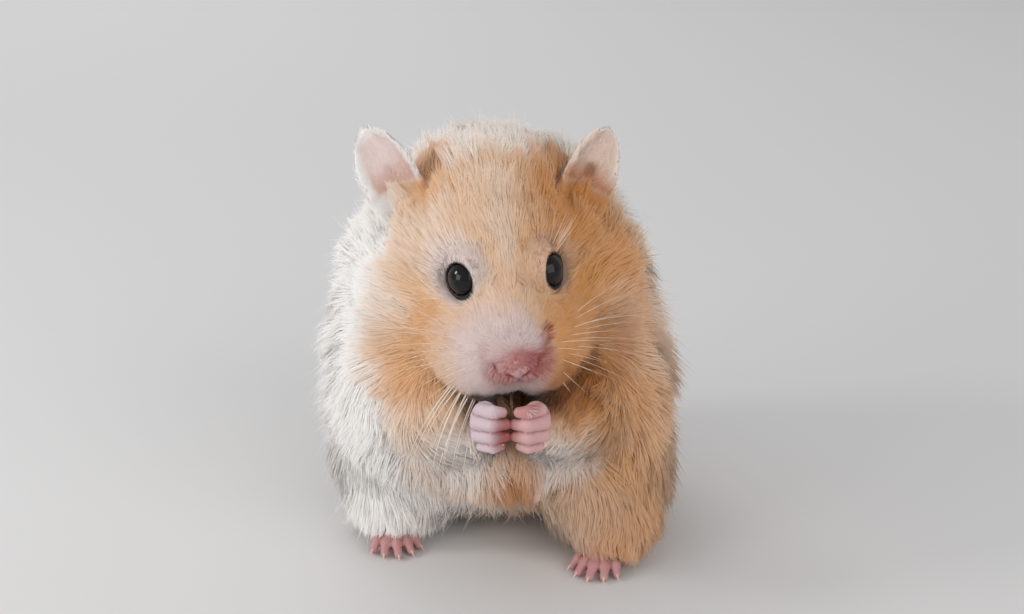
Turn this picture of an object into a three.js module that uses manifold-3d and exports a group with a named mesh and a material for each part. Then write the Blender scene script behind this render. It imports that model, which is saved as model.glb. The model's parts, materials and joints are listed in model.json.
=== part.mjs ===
// A Syrian hamster sitting up on its haunches, forepaws held to its mouth, at life size.
//
// The animal is one smooth body made of round forms (ellipsoids and tapered rods) that melt into
// each other, out to the tips of its coat. It is modelled whole and parted with flat, thin cuts, as
// blocks that are taken out of it one after another. Eyes, ears and nose are solids of their own.
// Millimetres. +Z is up, the animal faces -Y, and its own left is +X. The floor is z = 0.
import * as THREE from "three";
import { mergeVertices } from "three/addons/utils/BufferGeometryUtils.js";
import Module from "manifold-3d";

const wasm = await Module();
wasm.setup();

// ---------------------------------------------------------------- driving dimensions

const ORIGIN = [-0.6, 3.9, 0]; // the middle of the footprint, which becomes x = y = 0
const HEAD = { at: [-1.3, -9, 66.4], yaw: 10, pitch: 25, roll: 3 }; // centre of the skull, and its turn
const EYE = { at: [7.75, -15.4, 7.1], radius: 3.75 }; // in the head's own frame, mirrored
const NOSE = { at: [0, -30.2, -4], radii: [3.7, 2.2, 2.6] };
const HANDS = [2.2, -38, 39.6]; // where the two forepaws meet, below the mouth
const FINGERS = 4;
const FINGER = { reach: 3.4, spacing: 2.45, radius: 1.2, joint: 1.15, tip: 0.85 };
const TOES = 5;
const TOE = { length: 5.7, spacing: 1.5, spread: 15, radius: 1.2, joint: 1.1, tip: 0.9 };
const DIGIT_BLEND = { root: 1.8, tip: 1.4 };
// An ear's outline and bends, along its height from 0 at the base to 1 at the tip.
const EAR = {
  root: -0.5, // where it ends, inside the head
  widest: 0.32,
  rootNarrowing: 0.32,
  taper: 2.1,
  tipRoundness: 0.74,
  thickness: { base: 1.9, tip: 1.2 },
  cup: 2.4, // how far the edges stand in front of the middle
  curl: { by: 1.9, from: 0.25, set: -1.2 }, // the lean of its upper part towards the front
};

const CUT = 0.35; // width of the thin cut between two parts
const FAR = 60; // beyond the body on every side
const BALL_GRID = { around: 12, down: 8 }; // facets of the eyes and the nose
const EAR_GRID = { rings: 9, spokes: 10 };

// The parts, in the order they are taken out of the body: two opposite corners of the block that
// holds the part, in the head's own frame where headed is true, and the cell it is sampled with.
const PARTS = {
  forepaw_left: { cell: 1.35, block: [[HANDS[0], -FAR, 30], [FAR, -35.4, 44.6]] },
  forepaw_right: { cell: 1.35, block: [[-FAR, -FAR, 30], [HANDS[0] - CUT, -35.4, 44.6]] },
  hindfoot_left: { cell: 1.5, block: [[8, -FAR, -1], [34, -19.3, 6.2]] },
  hindfoot_right: { cell: 1.5, block: [[-34, -FAR, -1], [-12, -9.5, 6.2]] },
  tail: { cell: 2, block: [[-6, 41.5, -1], [5, FAR, 10.5]] },
  hindleg_left: { cell: 4.5, block: [[5.5, -FAR, -1], [FAR, 2, 29]] },
  hindleg_right: { cell: 5.0, block: [[-FAR, -FAR, -1], [-4.5, 9, 30]] },
  jaw: { cell: 2.3, block: [[-8, -FAR, -16.7], [8, -12, -11.7]], headed: true },
  foreleg_left: { cell: 2.75, block: [[HANDS[0], -FAR, 27], [28, -15, 45]] },
  foreleg_right: { cell: 2.75, block: [[-30, -FAR, 27], [HANDS[0] - CUT, -15, 45]] },
  muzzle: { cell: 2.8, block: [[-12, -FAR, -15.2], [12, -16, 1]], headed: true },
  head: { cell: 4.3, block: [[-FAR, -FAR, -21], [FAR, 7, FAR]], headed: true },
  neck: { cell: 5.2, block: [[-FAR, -FAR, -21], [FAR, 15, FAR]], headed: true },
  trunk: { cell: 5.7, block: [[-FAR, -FAR, 0], [FAR, FAR, 2 * FAR]] },
};

// ---------------------------------------------------------------- small vector helpers

const V = (p) => (p.isVector3 ? p.clone() : new THREE.Vector3(...p));
const rad = THREE.MathUtils.degToRad;
const { clamp, lerp } = THREE.MathUtils;

// Turn of a form: yaw swings the nose towards +X, pitch lowers it, roll lifts the +X side.
function turned({ yaw = 0, pitch = 0, roll = 0 }) {
  const about = (x, y, z, degrees) => new THREE.Matrix4().makeRotationAxis(V([x, y, z]), rad(degrees));
  return about(0, 0, 1, yaw).multiply(about(1, 0, 0, pitch)).multiply(about(0, 1, 0, -roll));
}

const headTurn = turned(HEAD);
const onHead = (p) => V(p).applyMatrix4(headTurn).add(V(HEAD.at));

// ---------------------------------------------------------------- round forms

// Each form is { blend, near(point), box }, where near gives the distance to its surface, negative
// inside, blend is the reach over which it melts into what is already there, and box holds it.
const forms = [];
const boxAround = (points, margin) => new THREE.Box3().setFromPoints(points).expandByScalar(margin);

// A smooth minimum: two surfaces closer than k flow together in a fillet.
function melt(a, b, k) {
  const h = Math.max(k - Math.abs(a - b), 0) / k;
  return Math.min(a, b) - (h * h * k) / 4;
}

function ellipsoid(at, radii, blend, turn = new THREE.Matrix4()) {
  const centre = V(at);
  const back = turn.clone().invert();
  const q = new THREE.Vector3();
  const tiny = 1e-6;
  const near = (p) => {
    q.copy(p).sub(centre).applyMatrix4(back);
    const [a, b, c] = [q.x / radii[0], q.y / radii[1], q.z / radii[2]];
    const share = Math.hypot(a, b, c);
    const slope = Math.hypot(a / radii[0], b / radii[1], c / radii[2]);
    return ((share - 1) * (share + tiny)) / (slope + tiny);
  };
  forms.push({ blend, near, box: boxAround([centre], Math.max(...radii)) });
}

// A rod with round ends, from a to b, whose radius goes from ra to rb.
function rod(a, b, ra, rb, blend) {
  const [from, to] = [V(a), V(b)];
  const along = to.clone().sub(from);
  const q = new THREE.Vector3();
  const near = (p) => {
    q.copy(p).sub(from);
    const t = clamp(q.dot(along) / along.lengthSq(), 0, 1);
    return q.addScaledVector(along, -t).length() - (ra + (rb - ra) * t);
  };
  forms.push({ blend, near, box: boxAround([from, to], Math.max(ra, rb)) });
}

// ---------------------------------------------------------------- the body, part by part

function trunk() {
  ellipsoid([0, 17, 27], [36, 32, 29], 10); // rump
  ellipsoid([-0.5, 0, 32], [36, 25, 26], 14); // belly
  ellipsoid([-1.4, 9, 48], [33, 29, 28], 18); // ribs
  ellipsoid([-1.5, 14, 62], [27, 24.5, 25], 16); // shoulders and hunched back
  rod([-0.5, 43, 7.5], [-1.3, 50, 3.6], 3.6, 1.7, 3); // tail
}

function neck() {
  ellipsoid([-1.3, 2, 59], [26, 12, 20], 12, turned({ pitch: 30 }));
}

function hindLegs() {
  ellipsoid([21.5, -8, 18], [16.5, 19, 18], 7, turned({ pitch: 14, yaw: -8 })); // left thigh
  ellipsoid([-20, -1, 19], [17.5, 19, 18.5], 7, turned({ pitch: 12, yaw: 8 })); // right thigh
  ellipsoid([24, -17, 8.5], [10, 11, 8.8], 6); // left shin
  ellipsoid([-23.5, -6.5, 8.8], [10, 11, 8.8], 6); // right shin
}

function head() {
  const add = (at, radii, blend) => ellipsoid(onHead(at), radii, blend, headTurn);
  add([0, 3, 1.5], [20, 20, 16.5], 12); // skull
  add([0, -8, 4], [12.5, 13, 10.5], 8); // forehead
  add([0, -18, 0.5], [8.4, 11, 8], 7); // bridge of the nose
  for (const side of [1, -1]) add([side * 15.5, -5, -8], [12.5, 13, 12], 9); // cheeks
  add([0, -21.5, -5], [11.5, 9, 7.4], 5); // muzzle
  for (const side of [1, -1]) add([side * 5.8, -24, -8.4], [7.4, 7.4, 6.2], 3); // lips
  add([0, -18.5, -14.7], [7, 7.5, 4], 2); // chin
  add(NOSE.at, NOSE.radii, 1.6);
}

function foreleg(side) {
  const shoulder = [side * 17 - 0.5, -12, 48];
  const elbow = [side * 14 + 1.5, -24, 36.5];
  const wrist = [HANDS[0] + side * 6, HANDS[1] + 5.2, HANDS[2] - 4.2];
  rod(shoulder, elbow, 9, 8, 6);
  rod(elbow, wrist, 7.6, 4, 4);

  const at = (x, y, z) => [HANDS[0] + side * x, HANDS[1] + y, HANDS[2] + z];
  ellipsoid(at(5, 1.2, -0.2), [3, 2.6, 4.4], 2); // palm
  for (let i = 0; i < FINGERS; i++) {
    const lift = FINGER.spacing * ((FINGERS - 1) / 2 - i);
    const knuckle = at(6.7, -0.1, lift - 0.2);
    const joint = at(3.2, -FINGER.reach, 0.97 * lift - 0.1);
    const tip = at(0.95, -2.5, 0.88 * lift + 0.1);
    rod(knuckle, joint, FINGER.radius, FINGER.joint, DIGIT_BLEND.root);
    rod(joint, tip, FINGER.joint, FINGER.tip, DIGIT_BLEND.tip);
  }
}

function hindfoot(heel, ball) {
  rod(heel, ball, 4.4, 3.2, 3);
  const ahead = V([ball[0] - heel[0], ball[1] - heel[1], 0]).normalize();
  const across = V([-ahead.y, ahead.x, 0]);
  for (let i = 0; i < TOES; i++) {
    const place = i - (TOES - 1) / 2;
    const outer = Math.abs(place);
    const angle = rad(place * TOE.spread);
    const way = ahead.clone().multiplyScalar(Math.cos(angle)).addScaledVector(across, Math.sin(angle));
    const length = TOE.length - 0.5 * outer - (outer === 2 ? 0.9 : 0);
    const knuckle = V(ball).addScaledVector(across, place * TOE.spacing);
    knuckle.addScaledVector(ahead, -0.5 * outer).setZ(ball[2] - 0.3);
    const joint = knuckle.clone().addScaledVector(way, 0.55 * length).setZ(ball[2]);
    const tip = knuckle.clone().addScaledVector(way, length).setZ(ball[2] - 1.4);
    rod(knuckle, joint, TOE.radius, TOE.joint, DIGIT_BLEND.root);
    rod(joint, tip, TOE.joint, TOE.tip, DIGIT_BLEND.tip);
  }
}

trunk();
neck();
hindLegs();
head();
foreleg(1);
foreleg(-1);
hindfoot([25.5, -12, 3.4], [20.6, -24.3, 2.4]); // left, a little ahead
hindfoot([-25.2, -2, 3.5], [-22.8, -14.2, 2.4]); // right

const bodyBox = forms.reduce((all, form) => all.union(form.box), new THREE.Box3());

const EARS = {
  left: { base: [16.4, -7, 77.2], tip: [22.3, -3.5, 90.1], facing: [0.45, -0.9, 0.15], width: 11 },
  right: { base: [-20, -8.5, 77], tip: [-27.7, -5.5, 90.5], facing: [-0.25, -1, 0.15], width: 11.8 },
};

// ---------------------------------------------------------------- from forms to solids

// The distance to the whole body, its forms melted together in their order, negative inside.
function body(p) {
  return forms.reduce((sum, form) => melt(sum, form.near(p), form.blend), 1e3);
}

// The closed surface field = 0 within a box, as quads between the cells that it crosses (surface
// nets). Where the body runs on beyond the box, it is closed off there.
function surfaceNet(field, box, cell) {
  const low = box.min.toArray().map((x) => (Math.floor(x / cell) - 1) * cell);
  const count = box.max.toArray().map((x, axis) => Math.ceil((x - low[axis]) / cell) + 3);
  const index = (i, j, k) => (i * count[1] + j) * count[2] + k;
  const value = new Float32Array(count[0] * count[1] * count[2]).fill(cell);
  const p = new THREE.Vector3();
  for (let i = 2; i < count[0] - 1; i++)
    for (let j = 2; j < count[1] - 1; j++)
      for (let k = 2; k < count[2] - 1; k++) {
        p.set(low[0] + i * cell, low[1] + j * cell, low[2] + k * cell);
        value[index(i, j, k)] = field(p);
      }

  // Each lattice edge that the surface crosses adds its crossing to the four cells around it.
  const steps = [index(1, 0, 0), index(0, 1, 0), index(0, 0, 1)];
  const cells = new Map();
  const quads = [];
  for (let i = 1; i < count[0] - 1; i++)
    for (let j = 1; j < count[1] - 1; j++)
      for (let k = 1; k < count[2] - 1; k++)
        for (let axis = 0; axis < 3; axis++) {
          const corner = index(i, j, k);
          const [here, next] = [value[corner], value[corner + steps[axis]]];
          if (here < 0 === next < 0) continue;
          const at = new THREE.Vector3(i, j, k);
          at.setComponent(axis, at.getComponent(axis) + here / (here - next));
          const [s, t] = [steps[(axis + 1) % 3], steps[(axis + 2) % 3]];
          const around = [corner - s - t, corner - t, corner, corner - s];
          for (const c of around) {
            if (!cells.has(c)) cells.set(c, { sum: new THREE.Vector3(), crossings: 0 });
            const entry = cells.get(c);
            entry.sum.add(at);
            entry.crossings++;
          }
          quads.push(here < 0 ? around : around.reverse());
        }

  const positions = [];
  for (const entry of cells.values()) {
    entry.vertex = positions.length / 3;
    const at = entry.sum.divideScalar(entry.crossings).multiplyScalar(cell).add(V(low));
    positions.push(at.x, at.y, at.z);
  }
  const faces = quads.flatMap((quad) => {
    const [a, b, c, d] = quad.map((cellNumber) => cells.get(cellNumber).vertex);
    return [a, b, c, a, c, d];
  });
  return closedGeometry(positions, faces);
}

function closedGeometry(positions, faces) {
  const geometry = new THREE.BufferGeometry();
  geometry.setAttribute("position", new THREE.Float32BufferAttribute(positions, 3));
  return geometry.setIndex(faces);
}

// A closed geometry as a solid for joining and cutting, and back.
function solidOf(geometry) {
  geometry.deleteAttribute("normal");
  geometry.deleteAttribute("uv");
  const merged = mergeVertices(geometry, 1e-4);
  const vertProperties = new Float32Array(merged.getAttribute("position").array);
  const triVerts = new Uint32Array(merged.index.array);
  return new wasm.Manifold(new wasm.Mesh({ numProp: 3, vertProperties, triVerts }));
}

function geometryOf(solid) {
  const { vertProperties, triVerts } = solid.getMesh();
  const geometry = closedGeometry(vertProperties, Array.from(triVerts));
  geometry.computeVertexNormals();
  return geometry;
}

// The block between two opposite corners, grown on every side.
function blockGeometry({ block, headed }, grow = 0) {
  const box = new THREE.Box3(V(block[0]), V(block[1])).expandByScalar(grow);
  const geometry = new THREE.BoxGeometry(...box.getSize(new THREE.Vector3()).toArray());
  geometry.translate(...box.getCenter(new THREE.Vector3()).toArray());
  if (headed) geometry.applyMatrix4(headTurn).translate(...HEAD.at);
  geometry.computeBoundingBox();
  return geometry;
}

// The stretch of the body in and around a block, sampled as finely as its part needs.
function bodyAround(place) {
  const around = blockGeometry(place, 2 * place.cell).boundingBox;
  const box = around.intersect(bodyBox.clone().expandByScalar(place.cell));
  return solidOf(surfaceNet(body, box, place.cell));
}

// An egg-shaped solid in the head's frame.
function ovoid(at, radii) {
  const geometry = new THREE.SphereGeometry(1, BALL_GRID.around, BALL_GRID.down).scale(...radii);
  return solidOf(geometry.applyMatrix4(headTurn).translate(...onHead(at).toArray()));
}

// An ear: a leaf from its root below the base up to the tip, cupped across and curled along its
// height. Rings run round the leaf from edge to edge; grow adds to its outline and thickness.
function earSolid({ base, tip, facing, width }, grow = 0) {
  const up = V(tip).sub(V(base));
  const height = up.length();
  up.normalize();
  const face = V(facing);
  face.addScaledVector(up, -face.dot(up)).normalize();
  const side = new THREE.Vector3().crossVectors(face, up);
  const { rings, spokes } = EAR_GRID;
  const positions = [];
  const faces = [];
  const put = (u, v, w) => {
    const at = V(base).addScaledVector(up, u * height).addScaledVector(side, v).addScaledVector(face, w);
    positions.push(at.x, at.y, at.z);
  };
  const bend = (u) => EAR.curl.by * (u - EAR.curl.from) ** 2 + EAR.curl.set;
  for (let ring = 0; ring < rings; ring++) {
    const u = EAR.root + (1 - EAR.root) * Math.sin((Math.PI / 2) * ((ring + 0.3) / rings));
    const above = clamp((u - EAR.widest) / (1 - EAR.widest), 0, 1);
    const below = clamp((EAR.widest - u) / (EAR.widest - EAR.root), 0, 1);
    const outline = (1 - above ** EAR.taper) ** EAR.tipRoundness * (1 - EAR.rootNarrowing * below ** 2);
    const half = (width / 2) * outline + grow;
    const thick = lerp(EAR.thickness.base, EAR.thickness.tip, clamp(u, 0, 1)) / 2 + grow;
    for (let spoke = 0; spoke < spokes; spoke++) {
      const angle = (2 * Math.PI * spoke) / spokes;
      const v = Math.cos(angle);
      put(u, half * v, bend(u) + EAR.cup * v * v * (half / (width / 2)) + thick * Math.sin(angle));
      const [a, b] = [ring * spokes + spoke, ring * spokes + ((spoke + 1) % spokes)];
      if (ring + 1 < rings) faces.push(a, b, b + spokes, a, b + spokes, a + spokes);
    }
  }
  put(EAR.root - grow / height, 0, bend(EAR.root));
  put(1 + grow / height, 0, bend(1));
  const root = rings * spokes;
  const last = root - spokes;
  for (let spoke = 0; spoke < spokes; spoke++) {
    const next = (spoke + 1) % spokes;
    faces.push(root, next, spoke, root + 1, last + spoke, last + next);
  }
  return solidOf(closedGeometry(positions, faces));
}

const largestPiece = (solid) => solid.decompose().sort((a, b) => b.volume() - a.volume())[0];

// ---------------------------------------------------------------- materials and nodes

const finish = (color, roughness) => new THREE.MeshStandardMaterial({ color, roughness, metalness: 0 });
const COAT = finish(0xd9a878, 0.9);
const PALE_COAT = finish(0xe9e2d8, 0.9);
const SKIN = finish(0xe0a39c, 0.6);
const DARK_EYE = finish(0x0b0909, 0.08);

const hamster = new THREE.Group();
hamster.position.set(-ORIGIN[0], -ORIGIN[1], -ORIGIN[2]);

function addNode(name, solid, material) {
  const mesh = new THREE.Mesh(geometryOf(solid), material);
  mesh.name = name;
  hamster.add(mesh);
}

const cutters = [];
addNode("nose", ovoid(NOSE.at, NOSE.radii), SKIN);
cutters.push(ovoid(NOSE.at, NOSE.radii.map((r) => r + CUT)));
for (const [side, word] of [[1, "left"], [-1, "right"]]) {
  const eyeAt = [side * EYE.at[0], EYE.at[1], EYE.at[2]];
  const eyeball = (radius) => ovoid(eyeAt, [radius, radius, radius]);
  addNode("eye_" + word, eyeball(EYE.radius), DARK_EYE);
  addNode("ear_" + word, earSolid(EARS[word]), SKIN);
  cutters.push(eyeball(EYE.radius + CUT), earSolid(EARS[word], CUT));
}

const bare = ["forepaw", "hindfoot", "tail"];
const pale = ["jaw", "muzzle"];
const overFloor = solidOf(blockGeometry({ block: [[-2 * FAR, -2 * FAR, 0], [2 * FAR, 2 * FAR, 4 * FAR]] }));
for (const [part, place] of Object.entries(PARTS)) {
  const whole = bodyAround(place).intersect(solidOf(blockGeometry(place))).intersect(overFloor);
  const left = cutters.reduce((rest, cutter) => rest.subtract(cutter), whole);
  const kind = part.split("_")[0];
  addNode(part, largestPiece(left), bare.includes(kind) ? SKIN : pale.includes(kind) ? PALE_COAT : COAT);
  cutters.push(solidOf(blockGeometry(place, CUT)));
}

export default hamster;
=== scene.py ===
# %% [markdown]
# # A Syrian hamster, sitting up
# The solids of the frame give the animal's outline out to the tips of its coat. This lesson puts
# the real surface inside that outline: one skin, thousands of small locks of fur growing from it,
# glossy eyes, claws and whiskers. Shapes are worked out in millimetres with numpy, in the body's
# own axes (the animal faces -Y, its left is +X), and become metres when they are made meshes.

import json
import math
from functools import partial

import bpy
import numpy as np
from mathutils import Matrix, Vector


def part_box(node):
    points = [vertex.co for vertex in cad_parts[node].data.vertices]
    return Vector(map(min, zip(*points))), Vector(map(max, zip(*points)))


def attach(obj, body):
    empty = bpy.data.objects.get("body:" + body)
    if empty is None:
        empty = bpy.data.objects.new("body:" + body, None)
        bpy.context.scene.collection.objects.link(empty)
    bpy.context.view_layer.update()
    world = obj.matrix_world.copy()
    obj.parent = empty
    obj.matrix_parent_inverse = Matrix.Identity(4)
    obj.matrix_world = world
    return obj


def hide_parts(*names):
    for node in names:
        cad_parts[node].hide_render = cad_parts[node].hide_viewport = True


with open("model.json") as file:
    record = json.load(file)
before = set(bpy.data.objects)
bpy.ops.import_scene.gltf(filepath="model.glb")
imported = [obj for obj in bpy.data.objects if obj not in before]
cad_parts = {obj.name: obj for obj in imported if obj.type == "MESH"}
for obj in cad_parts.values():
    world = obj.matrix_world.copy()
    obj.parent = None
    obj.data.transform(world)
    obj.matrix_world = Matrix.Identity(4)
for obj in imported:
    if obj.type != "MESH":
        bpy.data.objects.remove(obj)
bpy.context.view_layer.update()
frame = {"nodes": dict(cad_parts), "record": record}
MM = 1000.0  # millimetres in a metre

# %% [markdown]
# ## Places
# Two places tie everything to the frame. The seat is the point under the rump where the animal
# rests, and it is in the record. The head has axes of its own, found from three solids that can be
# measured: the line through the two eyes is its X, and the nose shows which way it looks.

# %% Seat and head
RUMP = np.array([0.0, 17.0, 0.0])  # the seat, in the body's own axes
EYES_AHEAD, EYES_ABOVE = 15.4, 7.1  # from the middle of the skull to the line of the eyes
NOSE_AHEAD, NOSE_BELOW = 30.2, 4.0  # and to the nose

seat = MM * np.array(frame["record"]["mounts"][0]["pos_m"])
ORIGIN = seat - RUMP


def middle(node):
    """The middle of a solid's box, in the body's axes."""
    low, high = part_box(node)
    return MM * np.array((low + high) / 2) - ORIGIN


def unit(v):
    """Each vector divided by its length."""
    return v / np.maximum(np.linalg.norm(v, axis=-1, keepdims=True), 1e-9)


EYES = {1: middle("eye_left"), -1: middle("eye_right")}
EYE_RADIUS = MM * (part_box("eye_left")[1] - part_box("eye_left")[0]).x / 2


def head_axes():
    """Columns X, Y, Z of the head. The line from eyes to nose slopes down by a known angle, and
    turning it back by that angle gives the way the head looks, which is -Y."""
    across = unit(EYES[1] - EYES[-1])
    slope = middle("nose") - (EYES[1] + EYES[-1]) / 2
    slope = unit(slope - (slope @ across) * across)
    down = math.atan2(EYES_ABOVE + NOSE_BELOW, NOSE_AHEAD - EYES_AHEAD)
    back = -math.cos(down) * slope + math.sin(down) * np.cross(across, slope)
    return np.stack([across, back, np.cross(across, back)], 1)


HEAD_TURN = head_axes()
HEAD = (EYES[1] + EYES[-1]) / 2 - HEAD_TURN @ [0.0, -EYES_AHEAD, EYES_ABOVE]


def on_head(p):
    """A point given in the head's axes, in the body's axes."""
    return HEAD + HEAD_TURN @ np.array(p, float)


def in_head(p):
    """Points of the body's axes, in the head's axes."""
    return (p - HEAD) @ HEAD_TURN


print("head at", HEAD.round(1), "eye radius", round(EYE_RADIUS, 2))

# %% [markdown]
# ## Round forms
# Flesh is round, so the body is a family of eggs and tapered rods that flow into each other. Each
# has a depth of coat: at depth 0 it is the outline of the fur, at depth 1 the skin under it. A
# smooth minimum melts the forms together. Sculpting would give the same shape, but a formula can
# be asked anywhere how deep the fur is, and that is what every lock will need.

# %% Forms
forms = []


def melt(a, b, k):
    """The smaller of two distances, rounded off where they differ by less than k."""
    h = np.maximum(k - np.abs(a - b), 0) / k
    return np.minimum(a, b) - h * h * k / 4


def hollow(a, b, k):
    """The larger of two distances, rounded off in the same way."""
    return -melt(-a, -b, k)


def turned(pitch=0.0, yaw=0.0):
    """A turn that lowers the front by pitch and swings it to the left by yaw, in degrees."""
    a, b = math.radians(yaw), math.radians(pitch)
    swing = np.array([[math.cos(a), -math.sin(a), 0], [math.sin(a), math.cos(a), 0], [0, 0, 1]])
    tip = np.array([[1, 0, 0], [0, math.cos(b), -math.sin(b)], [0, math.sin(b), math.cos(b)]])
    return swing @ tip


def egg(at, radii, coat, blend, turn=np.eye(3)):
    """An ellipsoid. With k the length of the point divided by the radii, the distance is about
    k (k - 1) over the slope of k."""
    at, radii = np.array(at, float), np.array(radii, float)

    def near(p, depth):
        r = np.maximum(radii - coat * depth, 0.3)
        q = (p - at) @ turn
        k = np.linalg.norm(q / r, axis=-1)
        return k * (k - 1) / np.maximum(np.linalg.norm(q / r**2, axis=-1), 1e-6)

    forms.append((near, at - radii.max(), at + radii.max(), blend))


def rod(a, b, ra, rb, coat, blend):
    """A rod with round ends: the distance to the line from a to b, less a radius that goes evenly
    from ra to rb."""
    a, b = np.array(a, float), np.array(b, float)
    along = b - a

    def near(p, depth):
        t = np.clip((p - a) @ along / (along @ along), 0, 1)
        return np.linalg.norm(p - a - t[..., None] * along, axis=-1) - (ra + (rb - ra) * t - coat * depth)

    reach = max(ra, rb)
    forms.append((near, np.minimum(a, b) - reach, np.maximum(a, b) + reach, blend))


# %% [markdown]
# ## Trunk, legs and head
# The same forms that gave the solids their outline, now each with the depth of its coat. The coat
# is deep on the trunk, shallow on the face, and gone on nose, paws and tail.

# %% The body's forms
def trunk_and_legs():
    """Trunk, tail, neck, thighs and shins."""
    egg([0, 17, 27], [36, 32, 29], 5.5, 10)  # rump
    egg([-0.5, 0, 32], [36, 25, 26], 5.5, 14)  # belly
    egg([-1.4, 9, 48], [33, 29, 28], 5.5, 18)  # ribs
    egg([-1.5, 14, 62], [27, 24.5, 25], 5.5, 16)  # shoulders and hunched back
    rod([-0.5, 43, 7.5], [-1.3, 50, 3.6], 3.6, 1.7, 0.9, 3)  # tail
    egg([-1.3, 2, 59], [26, 12, 20], 5, 12, turned(30))  # neck
    egg([0.5, -15, 27.5], [26, 16, 12], 4, 10)  # chest
    egg([21.5, -8, 18], [16.5, 19, 18], 4.5, 7, turned(14, -8))  # thighs
    egg([-20, -1, 19], [17.5, 19, 18.5], 4.5, 7, turned(12, 8))
    egg([24, -17, 8.5], [10, 11, 8.8], 3, 6)  # shins
    egg([-23.5, -6.5, 8.8], [10, 11, 8.8], 3, 6)


def head_forms():
    """Skull, face and nose, in the head's axes."""

    def add(at, radii, coat, blend):
        egg(on_head(at), radii, coat, blend, HEAD_TURN)

    add([0, 3, 1.5], [20, 20, 16.5], 3.2, 12)  # skull
    add([0, -8, 4], [12.5, 13, 10.5], 2.2, 8)  # forehead
    add([0, -18, 0.5], [8.4, 11, 8], 1.4, 7)  # bridge of the nose
    for side in (1, -1):
        add([15.5 * side, -5, -8], [12.5, 13, 12], 3.6, 9)  # cheek
    for side in (1, -1):
        add([10.5 * side, -18.5, -6.5], [7, 8.5, 7], 2, 7)  # whisker pad
    add([0, -21.5, -5], [11.5, 9, 7.4], 1.2, 7)  # muzzle
    for side in (1, -1):
        add([5.8 * side, -24, -8.4], [7.4, 7.4, 6.2], 1, 4.5)  # lip
    add([0, -18.5, -14.7], [7, 7.5, 4], 1.2, 2)  # chin
    add([0, -30.2, -4], [3.7, 2.2, 2.6], 0, 1.6)  # nose


# %% [markdown]
# ## Forelegs and forepaws
# The forepaws meet below the mouth, four fingers each, curled so that their tips nearly touch in
# the middle. In the skin the digits melt together less than in the solids, so that the creases
# between them are cut sharp. Each finger is two rods with a joint between them.

# %% Forelegs
HANDS = np.array([2.2, -38.0, 39.6])  # where the forepaws meet
# each finger's height on the hand, its radius, and how far it is drawn in
FINGERS = [(3.6, 1.25, 0.9), (0.8, 1.35, 0), (-1.95, 1.3, 0.1), (-4.3, 1.0, 1.1)]
digits = []  # the distance functions of each finger's and toe's two rods
claw_tips = []  # (point, direction, size) of each digit's end


def foreleg(side):
    """Upper arm, forearm and palm, and then the fingers with a claw's place at each tip."""
    wrist = HANDS + [6 * side, 5.2, -4.2]
    egg([23.5 * side, -13, 36], [11, 12.5, 15], 4.5, 9)  # upper arm
    rod([17 * side - 0.5, -12, 48], [14 * side + 1.5, -24, 36.5], 9, 8, 3.2, 9)
    rod([14 * side + 1.5, -24, 36.5], wrist, 7.8, 4.3, 2.6, 7)
    egg(HANDS + [5 * side, 1.2, -0.2], [3, 2.6, 4.4], 0, 2)  # palm
    for lift, radius, short in FINGERS:
        knuckle = HANDS + [(6.6 - 0.8 * short) * side, -0.2, lift - 0.45]
        joint = HANDS + [3.4 * side, -3.2, 0.97 * lift + 0.35]
        tip = HANDS + [(1.0 + 0.7 * short) * side, -2.7, 0.9 * lift + 0.3]
        rod(knuckle, joint, radius, radius, 0, 0.6)
        rod(joint, tip, radius, 0.85 * radius, 0, 0.4)
        digits.append([form[0] for form in forms[-2:]])
        claw_tips.append((tip + [0, -0.3, 0.3], unit(np.array([-0.5 * side, -0.5, 0.7])), 0.75))

# %% [markdown]
# ## Hind feet
# A hind foot has five toes that spread like a fan from the ball of the foot, the middle one
# longest. They are placed by a loop: each toe turns further from the way the foot points.

# %% Hind feet
# the heel and the ball of each foot
FEET = {1: ([25.5, -12, 3.4], [20.6, -24.3, 2.4]), -1: ([-25.2, -2, 3.5], [-22.8, -14.2, 2.4])}
TOE = {"length": 5.7, "spacing": 1.5, "spread": 15.0}


def hindfoot(side):
    """The foot from heel to ball, and the toes."""
    heel, ball = (np.array(p, float) for p in FEET[side])
    rod(heel, ball, 4.4, 3.2, 0.4, 3)
    ahead = unit((ball - heel) * [1, 1, 0])
    across = np.array([-ahead[1], ahead[0], 0])
    for place in range(-2, 3):
        outer = abs(place)
        angle = math.radians(place * TOE["spread"])
        way = math.cos(angle) * ahead + math.sin(angle) * across
        length = TOE["length"] - 0.5 * outer - (0.9 if outer == 2 else 0)
        knuckle = (ball + across * place * TOE["spacing"] - ahead * outer * 0.5) * [1, 1, 0] + [0, 0, 2.1]
        joint = knuckle + way * length * 0.55 + [0, 0, 0.3]
        tip = knuckle + way * length - [0, 0, 1.1]
        rod(knuckle, joint, 1.2, 1.05, 0, 0.9)
        rod(joint, tip, 1.05, 0.85, 0, 0.5)
        digits.append([form[0] for form in forms[-2:]])
        claw_tips.append((tip + way * 0.3 + [0, 0, 0.35], unit(way + [0, 0, -0.3]), 1.0))


trunk_and_legs()
head_forms()
for side in (1, -1):
    foreleg(side)
    hindfoot(side)
print(len(forms), "forms,", len(digits), "digits")

# %% [markdown]
# ## Ears
# An ear is a thin leaf, cupped forwards and curled along its height. Its middle surface is a
# formula in u, from base to tip, and v, across; the ear is everything within half a thickness of
# that surface and inside the leaf's outline.

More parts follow.
